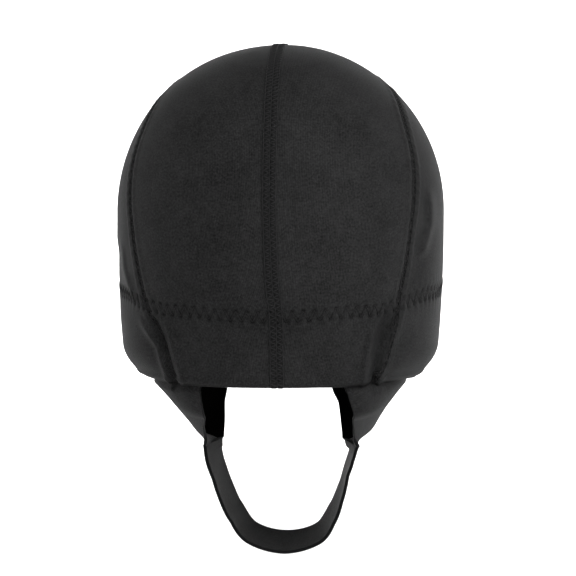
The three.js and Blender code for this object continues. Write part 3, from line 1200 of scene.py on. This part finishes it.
@dataclass(frozen=True)
class PaintFinish:
    """Pale matte paint of the studio, faintly uneven."""

    name: str
    colour: Colour
    cloud: float = 400.0
    darker: float = 0.985

    def material(self) -> bpy.types.Material:
        """Makes the material.

        Returns:
            The material.
        """
        material, nodes = new_material(self.name)
        place = nodes.add("ShaderNodeTexCoord").outputs["Object"]
        clouds = nodes.noise(place, self.cloud, 1.0)
        uneven = nodes.blend(clouds, scaled(self.colour, self.darker), self.colour)
        nodes.surface({"Base Color": uneven, "Roughness": 1.0, "Specular IOR Level": 0.0})
        return material


@dataclass
class Finishes:
    """All finishes of the cap as materials, made once."""

    face: bpy.types.Material = field(init=False)
    near_black: bpy.types.Material = field(init=False)
    strap: bpy.types.Material = field(init=False)
    foam: bpy.types.Material = field(init=False)
    thread: bpy.types.Material = field(init=False)
    shaded_thread: bpy.types.Material = field(init=False)

    def __post_init__(self) -> None:
        """Makes the shared groups and then the materials."""
        knit = knit_group()
        lint = lint_group()
        face = ClothFinish("jersey_face", (0.007, 0.007, 0.0072), (0.038, 0.038, 0.0385))
        # Near-black finish of the inner faces, far darker than the face cloth and without gloss
        near_black = ClothFinish(
            "near_black_inner_face", (0.002, 0.002, 0.002), (0.0055, 0.0055, 0.0055), roughness=0.95, specular=0.0
        )
        # The strap's jersey is a darker copy of the face's: painted shade on the strap and the lapped parts
        # of the flaps
        strap = ClothFinish("shaded_strap_jersey", (0.006, 0.006, 0.006), (0.026, 0.026, 0.0265), blotches=0.4)
        self.face = face.material(knit, lint)
        self.near_black = near_black.material(knit, lint)
        self.strap = strap.material(knit, lint)
        self.foam = FoamFinish("foam_edge", (0.008, 0.008, 0.0085)).material()
        # Two colours of the same black thread: the lighter one on the centre seam paints light on its humps,
        # the darker one on the side seams and zigzag paints shade
        self.thread = ThreadFinish("lit_thread", (0.0115, 0.0115, 0.012)).material()
        self.shaded_thread = ThreadFinish("shaded_thread", (0.007, 0.007, 0.0072)).material()


@dataclass(frozen=True)
class Anchor:
    """A straight stitch between two points on the cloth, with the cloth's normal."""

    start: Array
    end: Array
    normal: Array


@dataclass
class StitchRun:
    """Stitches of one thread: an arc laid between each pair of needle holes."""

    name: str
    radius: float
    rise: float
    sink: float
    bends: int = 6
    sides: int = 5
    unevenness: float = 0.06
    seed: int = 5

    def tree(self) -> bpy.types.NodeTree:
        """Builds the node tree that lays an arc of thread at every point of a mesh.

        Returns:
            The tree; its sizes and the thread's finish are named inputs.
        """
        tree = bpy.data.node_groups.new(f"{self.name}_stitches", "GeometryNodeTree")
        face = tree.interface
        face.new_socket("Geometry", in_out="INPUT", socket_type="NodeSocketGeometry")
        for name in ("Thread Radius", "Rise", "Sink", "Unevenness"):
            face.new_socket(name, in_out="INPUT", socket_type="NodeSocketFloat")
        for name in ("Bends", "Sides", "Seed"):
            face.new_socket(name, in_out="INPUT", socket_type="NodeSocketInt")
        face.new_socket("Thread", in_out="INPUT", socket_type="NodeSocketMaterial")
        face.new_socket("Geometry", in_out="OUTPUT", socket_type="NodeSocketGeometry")
        nodes = Nodes(tree)
        given = nodes.add("NodeGroupInput").outputs
        down = nodes.math("MULTIPLY", given["Sink"], -1.0)
        end_points = []
        for x, z in ((-0.5, down), (-0.34, given["Rise"]), (0.34, given["Rise"]), (0.5, down)):
            end_points.append(nodes.add("ShaderNodeCombineXYZ", {0: x, 2: z}).outputs[0])
        names = ("Start", "Start Handle", "End Handle", "End")
        arc = nodes.add(
            "GeometryNodeCurvePrimitiveBezierSegment",
            {"Resolution": given["Bends"], **dict(zip(names, end_points))},
            mode="POSITION",
        )
        section = nodes.add(
            "GeometryNodeCurvePrimitiveCircle",
            {"Resolution": given["Sides"], "Radius": given["Thread Radius"]},
        )
        thread = nodes.add(
            "GeometryNodeCurveToMesh",
            {"Curve": arc.outputs[0], "Profile Curve": section.outputs[0], "Fill Caps": True},
        )

        def attribute(name: str, kind: str) -> Socket:
            """Value that each anchor carries under a name."""
            return nodes.add("GeometryNodeInputNamedAttribute", {"Name": name}, data_type=kind).outputs[0]

        rotation = nodes.add(
            "FunctionNodeAxesToRotation",
            {0: attribute("normal_out", "FLOAT_VECTOR"), 1: attribute("thread_way", "FLOAT_VECTOR")},
            primary_axis="Z",
            secondary_axis="X",
        )
        least = nodes.math("MULTIPLY", given["Unevenness"], -1.0)
        chance = nodes.add("FunctionNodeRandomValue", data_type="FLOAT")
        floats = [s for s in chance.inputs if s.type == "VALUE"]
        tree.links.new(least, floats[0])
        tree.links.new(given["Unevenness"], floats[1])
        tree.links.new(given["Seed"], chance.inputs["Seed"])
        drawn = next(s for s in chance.outputs if s.type == "VALUE" and s.enabled)
        wobble = nodes.add("FunctionNodeAxisAngleToRotation", {"Axis": (0, 0, 1), "Angle": drawn})
        turned = nodes.add(
            "FunctionNodeRotateRotation",
            {"Rotation": rotation.outputs[0], "Rotate By": wobble.outputs[0]},
            rotation_space="LOCAL",
        )
        size = nodes.add("ShaderNodeCombineXYZ", {0: attribute("thread_length", "FLOAT"), 1: 1.0, 2: 1.0})
        laid = nodes.add(
            "GeometryNodeInstanceOnPoints",
            {
                "Points": given["Geometry"],
                "Instance": thread.outputs[0],
                "Rotation": turned.outputs[0],
                "Scale": size.outputs[0],
            },
        )
        real = nodes.add("GeometryNodeRealizeInstances", {0: laid.outputs[0]})
        rounded = nodes.add("GeometryNodeSetShadeSmooth", {0: real.outputs[0]})
        dressed = nodes.add(
            "GeometryNodeSetMaterial", {"Geometry": rounded.outputs[0], "Material": given["Thread"]}
        )
        nodes.add("NodeGroupOutput", {0: dressed.outputs[0]})
        return tree

    def build(self, anchors: Sequence[Anchor], material: bpy.types.Material) -> bpy.types.Object:
        """Makes the stitches as one plain mesh.

        Args:
            anchors: The stitches to lay, in millimetres.
            material: The thread's finish.

        Returns:
            The object, in metres, at the origin.
        """
        start = np.array([anchor.start for anchor in anchors])
        end = np.array([anchor.end for anchor in anchors])
        normal = np.array([anchor.normal for anchor in anchors])
        mesh = bpy.data.meshes.new(f"{self.name}_anchors")
        mesh.from_pydata(((start + end) / 2 * MM).tolist(), [], [])
        way = unit(end - start).astype(np.float32)
        length = (np.linalg.norm(end - start, axis=1) * MM).astype(np.float32)
        mesh.attributes.new("thread_way", "FLOAT_VECTOR", "POINT").data.foreach_set("vector", way.ravel())
        mesh.attributes.new("normal_out", "FLOAT_VECTOR", "POINT").data.foreach_set(
            "vector", normal.astype(np.float32).ravel()
        )
        mesh.attributes.new("thread_length", "FLOAT", "POINT").data.foreach_set("value", length)
        holder = add_object(f"{self.name}_anchors", mesh)
        modifier = holder.modifiers.new("stitches", "NODES")
        modifier.node_group = self.tree()
        values = {
            "Thread Radius": self.radius * MM,
            "Rise": self.rise * MM,
            "Sink": self.sink * MM,
            "Unevenness": self.unevenness,
            "Bends": self.bends,
            "Sides": self.sides,
            "Seed": self.seed,
            "Thread": material,
        }
        for item in modifier.node_group.interface.items_tree:
            if item.in_out == "INPUT" and item.name in values:
                modifier[item.identifier] = values[item.name]
        bpy.context.view_layer.update()
        evaluated = holder.evaluated_get(bpy.context.evaluated_depsgraph_get())
        made = bpy.data.meshes.new_from_object(evaluated)
        holder.modifiers.remove(modifier)
        bpy.data.objects.remove(holder)
        made.name = self.name
        return add_object(self.name, made)


def patch(bottom: Array, top: Array, left: Array, right: Array, v: Array, form: CapForm) -> Array:
    """Grid of points between four lines, brought onto the form inside its edges.

    Args:
        bottom: First row.
        top: Last row.
        left: First column, one point a row.
        right: Last column.
        v: Share of the way up for each row.
        form: The cap's form.

    Returns:
        Rows by columns of points.
    """
    u = np.linspace(0, 1, len(bottom))[None, :, None]
    v = v[:, None, None]
    grid = (1 - v) * bottom[None] + v * top[None] + (1 - u) * left[:, None] + u * right[:, None]
    grid = grid - (1 - u) * (1 - v) * bottom[0] - u * (1 - v) * bottom[-1]
    grid = grid - (1 - u) * v * top[0] - u * v * top[-1]
    inside = grid[1:-1, 1:-1]
    grid[1:-1, 1:-1] = form.onto(inside.reshape(-1, 3)).reshape(inside.shape)
    return grid


def spaced(length: float, spans: Sequence[tuple[float, float]]) -> Array:
    """Shares of a length whose steps follow a table.

    Args:
        length: The whole length.
        spans: Pairs of the place up to which a step holds, and the step.

    Returns:
        Shares from 0 to 1.
    """
    places = [np.zeros(1)]
    start = 0.0
    for until, step in spans:
        until = min(until, length)
        count = max(1, round((until - start) / step))
        places.append(np.linspace(start, until, count + 1)[1:])
        start = until
    return np.concatenate(places) / length


@dataclass
class Shell:
    """The four panels of the cap, their edges butted at flat seams."""

    form: CapForm
    seams: SeamLines
    relief: Relief
    seam_gap: float = 0.06
    row_steps: tuple[tuple[float, float], ...] = ((36, 1.2), (56, 0.6))
    top_row_step: float = 1.7
    column_step: float = 0.95
    least_width: float = 70.0
    side_split: float = 12 / 44
    side_rows: int = 116
    side_columns: int = 178
    bodies: dict[str, ClothBody] = field(default_factory=dict)

    def beside(self, line: Array, towards: Array) -> Array:
        """A seam line moved half the seam gap towards points inside a panel.

        Args:
            line: Points of the seam.
            towards: A point inside the panel for each, or one for all.

        Returns:
            The moved points.
        """
        along = np.gradient(line, axis=0)
        across = unit(np.cross(along, self.form.normal(line)))
        across *= np.where(np.sum(across * (towards - line), axis=1, keepdims=True) < 0, -1, 1)
        return line + across * self.seam_gap / 2

    def centre_grid(self, side: Side) -> Array:
        """Outer face of a centre panel; rows go from the nape to the forehead.

        Args:
            side: The panel's side.

        Returns:
            Rows by columns of points.
        """
        length = lengths_along(self.seams.centre(np.linspace(0, 1, 300)))[-1]
        shares = spaced(length, (*self.row_steps, (length, self.top_row_step)))
        centre = self.seams.centre(shares)
        edge = self.seams.side(side, shares)
        third = len(shares) // 3
        width = int(np.linalg.norm(edge[third] - centre[third]))
        count = round(max(width, self.least_width) / self.column_step)
        nape = float(bearing_of(centre[:1])[0]) * side.value
        bottom = self.form.rim_point(np.linspace(nape, self.seams.nape_bearing, count + 1), side)
        top = self.form.rim_point(np.linspace(180, self.seams.forehead_bearing, count + 1), side)
        return patch(bottom, top, self.beside(centre, edge), self.beside(edge, centre), shares, self.form)

    def side_grid(self, side: Side) -> Array:
        """Outer face of a side panel; rows go from the lower edge up.

        Args:
            side: The panel's side.

        Returns:
            Rows by columns of points.
        """
        low = np.linspace(0, self.side_split, self.side_rows + 1)
        over = np.linspace(self.side_split, 1 - self.side_split, self.side_columns + 1)
        shares = np.concatenate([low, over[1:-1], 1 - low[::-1]])
        ear = self.form.wall_point(np.array([92.0]), np.array([-110.0]), side)
        seam = self.beside(self.seams.side(side, shares), ear)
        rear = seam[: self.side_rows + 1]
        top = seam[self.side_rows : self.side_rows + self.side_columns + 1]
        front = seam[self.side_rows + self.side_columns :][::-1]
        bearings = np.linspace(self.seams.nape_bearing, self.seams.forehead_bearing, self.side_columns + 1)
        bottom = self.form.rim_point(bearings, side)
        return patch(bottom, top, rear, front, np.linspace(0, 1, self.side_rows + 1), self.form)

    def panel(self, name: str, grid: Array) -> ClothBody:
        """Wall of a panel: its form inside, and the form with its relief outside.

        Args:
            name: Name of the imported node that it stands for.
            grid: Rows by columns of points on the form.

        Returns:
            The wall.
        """
        flat = grid.reshape(-1, 3)
        normal = self.form.normal(flat)
        outer = flat + normal * self.relief.height(flat, normal)[:, None]
        inner = flat - normal * self.form.wall
        shade = self.relief.shade(flat)
        return ClothBody(name, outer.reshape(grid.shape), inner.reshape(grid.shape), shade=shade)

    def build(self, finishes: Finishes) -> dict[str, bpy.types.Object]:
        """Makes the four panels.

        Args:
            finishes: The cap's materials.

        Returns:
            The panels' objects by name.
        """
        pieces = {}
        for side in Side:
            for part, grid in (("centre", self.centre_grid(side)), ("side", self.side_grid(side))):
                name = f"{part}_panel_{side.word}"
                body = self.panel(name, grid)
                self.bodies[name] = body
                piece = body.build((finishes.face, finishes.near_black, finishes.foam))
                piece.name = f"{part}_panel_{side.word}_cloth"
                settle(piece, name)
                pieces[name] = piece
        return pieces


@dataclass
class SeamThreads:
    """Threads of the flat seams, and of the zigzag line that holds the flaps."""

    form: CapForm
    seams: SeamLines
    relief: Relief
    pitch: float = 2.8
    centre_half: float = 3.1
    side_half: float = 1.5

    def on_cloth(self, p: Array) -> tuple[Array, Array]:
        """Points brought onto the cloth's outer face, and its normals there.

        Args:
            p: Points near it, one a row.

        Returns:
            The points on the face, and the normals.
        """
        p = self.form.onto(p)
        normal = self.form.normal(p)
        return p + normal * self.relief.height(p, normal)[:, None], normal

    def flat_seam(self, line: Callable[[Array], Array], half: float) -> list[Anchor]:
        """Stitches of a flat seam: needle rows, and cover threads slanting between them.

        Args:
            line: Gives the seam's points at shares of its length.
            half: Half the width between the outer needle rows.

        Returns:
            The stitches.
        """
        length = lengths_along(line(np.linspace(0, 1, 300)))[-1]
        count = int(length / self.pitch)
        inset = 0.6 / length
        middle = line(np.linspace(inset, 1 - inset, 2 * count + 1))
        along = unit(np.gradient(middle, axis=0))
        across = unit(np.cross(along, self.form.normal(middle)))
        rows = {}
        for name, place in (("left", -half), ("middle", 0.0), ("right", half)):
            rows[name] = self.on_cloth(middle + across * place)
        anchors = []

        def lay(first: str, i: int, second: str, k: int) -> None:
            """Lays one stitch from a row's hole to another's, if there is one.

            Args:
                first: The row that the stitch starts in.
                i: Number of its hole there.
                second: The row that it ends in.
                k: Number of its hole there.
            """
            (start, normal), (end, _) = rows[first], rows[second]
            if 0 <= k < len(end):
                anchors.append(Anchor(start[i], end[k], normal[i]))

        for i in range(0, 2 * count, 2):
            for name in rows:
                lay(name, i, name, i + 2)
            lay("left", i, "middle", i + 1)
            lay("middle", i + 1, "left", i + 2)
            lay("right", i + 1, "middle", i + 2)
            lay("middle", i, "right", i + 1)
        return anchors

    def build(self, finishes: Finishes) -> dict[str, bpy.types.Object]:
        """Makes the threads.

        Args:
            finishes: The cap's materials.

        Returns:
            The thread pieces by name.
        """
        cover = {"radius": 0.27, "rise": 0.42, "sink": 0.15}
        pieces = {}
        run = StitchRun("centre_seam_threads", **cover)
        pieces[run.name] = run.build(self.flat_seam(self.seams.centre, self.centre_half), finishes.thread)
        for side in Side:
            run = StitchRun(f"side_seam_threads_{side.word}", **cover, seed=7 + side.value)

            def line(shares: Array, side: Side = side) -> Array:
                """The side seam of this side."""
                return self.seams.side(side, shares)

            pieces[run.name] = run.build(self.flat_seam(line, self.side_half), finishes.shaded_thread)
        tips = self.relief.tips
        normal = self.form.normal(tips)
        placed = tips - normal * (self.relief.hole_depth * 0.5)
        zigzag = [Anchor(placed[i], placed[i + 1], normal[i]) for i in range(len(tips) - 1)]
        run = StitchRun("flap_stitching", radius=0.24, rise=0.5, sink=0.25, bends=10, sides=7)
        pieces[run.name] = run.build(zigzag, finishes.shaded_thread)
        for piece in pieces.values():
            settle(piece)
        return pieces


@dataclass(frozen=True)
class FlapRow:
    """Points of one row of the right ear flap: its rear edge, its side and its front edge.

    Lean is how far each of them hangs over to the right on both flaps.
    """

    rear: Point
    side: Point
    front: Point
    lean: Point


FLAP_HANGING_ROWS = (
    FlapRow((38, -62, -184), (59.4, -4, -178), (46, 66, -164), (3.1, 1.6, -2)),
    FlapRow((37.8, -49, -189), (54.8, -3, -185), (30, 64, -181), (2.4, 1.4, -5.6)),
    FlapRow((38.8, -34, -195), (50.8, -1, -192), (31.6, 46, -192), (1.2, 1.5, -3)),
    FlapRow((39.2, -20, -201), (46.2, 1, -200), (32, 28, -200.5), (0.6, 1.2, -1.1)),
    FlapRow((41, -8.8, -206.5), (37.6, 1.8, -206.5), (32.6, 12.4, -206.5), (0.8, 1, 0.2)),
)


@dataclass
class EarFlap:
    """Inner layer over one ear, sewn inside the cap and narrowing to the strap."""

    side: Side
    form: CapForm
    wall: float = 1.8
    layer_gap: float = 1.2
    bearings: tuple[float, float, float] = (26.5, 86.0, 124.0)
    let_out: float = 2.0
    let_out_from: float = 1.5
    inside_heights: tuple[float, float, float] = (35.0, 19.0, 4.0)
    lap_height: float = -212.0
    lap_slant: float = 16.0
    rear_roll: float = 3.4
    flat_from: float = 4.0
    flat_power: float = 1.7
    rows: int = 150
    columns: int = 150

    def inside_cap(self, p: Array) -> Array:
        """Keeps points a layer gap inside the cap's wall.

        Args:
            p: Points of the flap's outer face.

        Returns:
            The points; below the cap's edge they go on straight down and are then let out.
        """
        aim = np.array(self.form.aim)
        below = np.maximum(0, RIM.at("z", bearing_of(p)) - p[:, 2])
        near = below <= self.form.turn_height
        raised = p[near] + np.array([0, 0, 1]) * below[near][:, None]
        wall = self.form.onto(raised)
        wall -= self.form.normal(wall) * (self.form.wall + self.layer_gap)
        free = self.let_out * np.maximum(0, below[near] - self.let_out_from)
        limit = np.linalg.norm(wall - aim, axis=1) + free
        reach = np.minimum(np.linalg.norm(raised - aim, axis=1), limit)
        out = p.copy()
        out[near] = aim + unit(raised - aim) * reach[:, None]
        out[near, 2] -= below[near]
        return out

    def control_rows(self) -> Array:
        """Rear, side and front control points of each row.

        Returns:
            Rows by three points, from inside the cap down to the strap.
        """
        bearings = np.array(self.bearings)
        rows = []
        for over in self.inside_heights:
            corners = self.form.wall_point(bearings, RIM.at("z", bearings) + over, self.side)
            rows.append(self.inside_cap(corners))
        for row in FLAP_HANGING_ROWS:
            points = np.array([row.rear, row.side, row.front], float)
            points[:, 0] = points[:, 0] * self.side.value + row.lean
            rows.append(points)
        return np.array(rows)

    def grid(self) -> Array:
        """Outer face of the flap; rows go from inside the cap down to the strap.

        Returns:
            Rows by columns of points.
        """
        controls = self.control_rows()
        v = np.linspace(0, 1, self.rows + 1)
        rear, middle, front = (catmull_rom(controls[:, k], v)[:, None, :] for k in range(3))
        last = len(controls) - 1
        flat = np.maximum(0, (v * last - self.flat_from) / (last - self.flat_from))
        bow = (1 - flat**self.flat_power)[:, None, None]
        t = np.linspace(-1, 1, self.columns + 1)[None, :, None]
        end = np.where(t < 0, rear, front)
        far = np.abs(t)
        quarter = far * math.pi / 2
        share = np.concatenate([1 - np.cos(quarter), np.sin(quarter), far], axis=2)
        arc = middle + (end - middle) * share
        straight = middle + (end - middle) * far
        grid = straight + (arc - straight) * bow
        return self.inside_cap(grid.reshape(-1, 3)).reshape(grid.shape)

    def build(self, finishes: Finishes) -> bpy.types.Object:
        """Makes the flap.

        Args:
            finishes: The cap's materials.

        Returns:
            The flap's object.
        """
        outer = self.grid()
        normal = unit(np.cross(np.gradient(outer, axis=0), np.gradient(outer, axis=1)))
        inner = outer - normal * self.side.value * self.wall
        name = f"ear_flap_{self.side.word}"
        from_front = np.linspace(1, 0, self.columns)[None, :]
        low = (outer[:-1, :-1, 2] + outer[1:, 1:, 2]) / 2
        from_rear = np.cumsum(np.linalg.norm(np.diff(outer, axis=1), axis=2), axis=1)[:-1]
        lapped = (low < self.lap_height + self.lap_slant * from_front) | (from_rear < self.rear_roll)
        body = ClothBody(name, outer, inner, bulge=0.45, lapped=lapped)
        piece = body.build((finishes.face, finishes.near_black, finishes.foam, finishes.strap))
        piece.name = f"{name}_cloth"
        settle(piece, name)
        declare_sheet(piece, body)
        return piece


@dataclass(frozen=True)
class StrapPoint:
    """Point of the strap's middle line; turn is how far its inner face turns to the nape."""

    at: Point
    turn: float


STRAP_ROUTE = (
    StrapPoint((-36.3, 1.8, -206.62), 18),
    StrapPoint((-36.1, 2.1, -213), 16),
    StrapPoint((-34.2, 5.5, -222), 13),
    StrapPoint((-30.8, 10, -234), 15),
    StrapPoint((-26, 15, -246), 16),
    StrapPoint((-17.4, 19.3, -258.4), 18.5),
    StrapPoint((0.8, 20.8, -263.6), 21),
    StrapPoint((18.8, 19.3, -258.4), 18),
    StrapPoint((27, 15, -246.5), 14.5),
    StrapPoint((31.9, 10, -233.5), 9.5),
    StrapPoint((35.2, 5.5, -221), 7),
    StrapPoint((37.3, 2.1, -213), 7.5),
    StrapPoint((37.4, 1.8, -206.62), 20),
)


@dataclass
class ChinStrap:
    """Strap of the same cloth from flap to flap."""

    width: float = 22.0
    wall: float = 1.8
    cup: float = 0.5
    cup_fade: float = 0.08
    steps: int = 360
    columns: int = 30

    def faces(self) -> tuple[Array, Array]:
        """Inner face of the strap towards the chin, and its outer face.

        Returns:
            The two faces, each as rows by columns of points.
        """
        controls = np.array([point.at for point in STRAP_ROUTE], float)
        t = np.linspace(0, 1, self.steps + 1)
        middle = catmull_rom(controls, t)
        way = unit(np.gradient(middle, axis=0))
        places = np.linspace(0, 1, len(STRAP_ROUTE))
        turn = np.radians(np.interp(t, places, [point.turn for point in STRAP_ROUTE]))
        across = unit(np.array([0.0, 1.0, 0.0]) - way * way[:, 1:2])
        turned = across * np.cos(turn)[:, None] + np.cross(way, across) * np.sin(turn)[:, None]
        normal = np.cross(way, turned)
        place = np.linspace(-1, 1, self.columns + 1)
        grid = middle[:, None] + turned[:, None] * (place * self.width / 2)[None, :, None]
        fade = smooth(np.minimum(t, 1 - t) / self.cup_fade)[:, None, None]
        cupped = (place**2 - 1 / 3)[None, :, None] * self.cup * fade
        grid = grid + normal[:, None] * cupped
        half = normal[:, None] * self.wall / 2
        return grid + half, grid - half

    def build(self, finishes: Finishes) -> bpy.types.Object:
        """Makes the strap.

        Args:
            finishes: The cap's materials.

        Returns:
            The strap's object.
        """
        upper, lower = self.faces()
        body = ClothBody("chin_strap", upper, lower, bulge=0.4)
        piece = body.build((finishes.strap, finishes.strap, finishes.foam))
        piece.name = "chin_strap_cloth"
        settle(piece, "chin_strap")
        declare_sheet(piece, body)
        return piece


@dataclass
class Studio:
    """Plain pale sweep, soft lights, and the camera at the photograph's viewing angle."""

    azimuth: float = 4.0
    elevation: float = 4.0
    distance: float = 1200.0
    target: Point = (0.0, 0.0, -125.0)
    aside: float = 3.67
    lens: float = 142.9
    floor: float = -430.0
    front_at: float = -3000.0
    wall_at: float = 2700.0
    wall_top: float = 3200.0
    half_width: float = 3600.0
    sweep: float = 900.0
    sweep_steps: int = 24
    sweep_target: Point = (0.0, 2.3, -0.4)
    sweep_spread: float = 100.0
    ambient: float = 0.33

    def place_camera(self) -> None:
        """Puts the camera behind the cap, looking forwards and slightly down."""
        a, e = math.radians(self.azimuth), math.radians(self.elevation)
        forward = Vector((-math.sin(a) * math.cos(e), math.cos(a) * math.cos(e), -math.sin(e)))
        right = Vector((math.cos(a), math.sin(a), 0))
        data = bpy.data.cameras.new("camera")
        data.lens = self.lens
        camera = add_object("camera", data)
        camera.location = (Vector(self.target) + right * self.aside - forward * self.distance) * MM
        camera.rotation_mode = "QUATERNION"
        camera.rotation_quaternion = forward.to_track_quat("-Z", "Y")
        bpy.context.scene.camera = camera

    def lay_sweep(self) -> None:
        """Makes the floor, curving up into a wall far behind."""
        profile = [(self.front_at, self.floor)]
        for k in range(self.sweep_steps + 1):
            turned = k / self.sweep_steps * math.pi / 2
            y = self.wall_at - self.sweep + self.sweep * math.sin(turned)
            profile.append((y, self.floor + self.sweep * (1 - math.cos(turned))))
        profile.append((self.wall_at, self.wall_top))
        points = [(x, y, z) for x in (-self.half_width, self.half_width) for y, z in profile]
        count = len(profile)
        faces = [(i, count + i, count + i + 1, i + 1) for i in range(count - 1)]
        mesh = bpy.data.meshes.new("floor")
        mesh.from_pydata([tuple(value * MM for value in point) for point in points], [], faces)
        mesh.polygons.foreach_set("use_smooth", [True] * len(faces))
        mesh.materials.append(PaintFinish("pale_paint", (0.93, 0.93, 0.93)).material())
        floor = add_object("floor", mesh)

    def light(self, name: str, at: Point, size: tuple[float, float], power: float) -> bpy.types.Object:
        """Adds a soft rectangular light aimed at the cap.

        Args:
            name: Name of the light.
            at: Its place, in metres.
            size: Width and height, in metres.
            power: Power, in watts.

        Returns:
            The light's object.
        """
        data = bpy.data.lights.new(name, "AREA")
        data.shape = "RECTANGLE"
        data.size, data.size_y = size
        data.energy = power
        lamp = add_object(name, data)
        lamp.location = at
        lamp.rotation_mode = "QUATERNION"
        lamp.rotation_quaternion = (Vector(self.target) * MM - Vector(at)).to_track_quat("-Z", "Y")
        return lamp

    def lamp_for_sweep(self) -> None:
        """Adds the light that keeps the wall and the floor behind the cap white."""
        lamp = self.light("sweep_light", (0.0, 1.9, 1.9), (3.2, 0.8), 55)
        towards = Vector(self.sweep_target) - lamp.location
        lamp.rotation_quaternion = towards.to_track_quat("-Z", "Y")
        lamp.data.spread = math.radians(self.sweep_spread)

    def build(self) -> None:
        """Sets the whole studio up."""
        self.place_camera()
        self.lay_sweep()
        self.light("left_softbox", (-1.5, 0.3, 0.3), (0.4, 1.2), 3.6)
        self.light("right_softbox", (1.4, -0.5, 0.35), (0.5, 1.0), 6)
        self.light("top_softbox", (0.5, -1.2, 1.0), (0.6, 0.6), 12)
        self.lamp_for_sweep()
        world = bpy.data.worlds.new("studio")
        bpy.context.scene.world = world
        world.use_nodes = True
        background = world.node_tree.nodes["Background"]
        background.inputs["Color"].default_value = (1.0, 1.0, 1.0, 1)
        background.inputs["Strength"].default_value = self.ambient
        view = bpy.context.scene.view_settings
        view.view_transform = "Standard"
        view.look = "None"


def main() -> None:
    """Builds the studio and the cap, piece by piece."""
    logging.basicConfig(level=logging.INFO, format="%(message)s")
    Studio().build()
    finishes = Finishes()
    form = CapForm()
    seams = SeamLines(form)
    relief = Relief(form, seams)
    shell = Shell(form, seams, relief)
    panels = shell.build(finishes)
    threads = SeamThreads(form, seams, relief).build(finishes)
    for name, piece in panels.items():
        declare_sheet(piece, shell.bodies[name])
    for side in Side:
        EarFlap(side, form).build(finishes)
    ChinStrap().build(finishes)


if __name__ == "__main__":
    main()
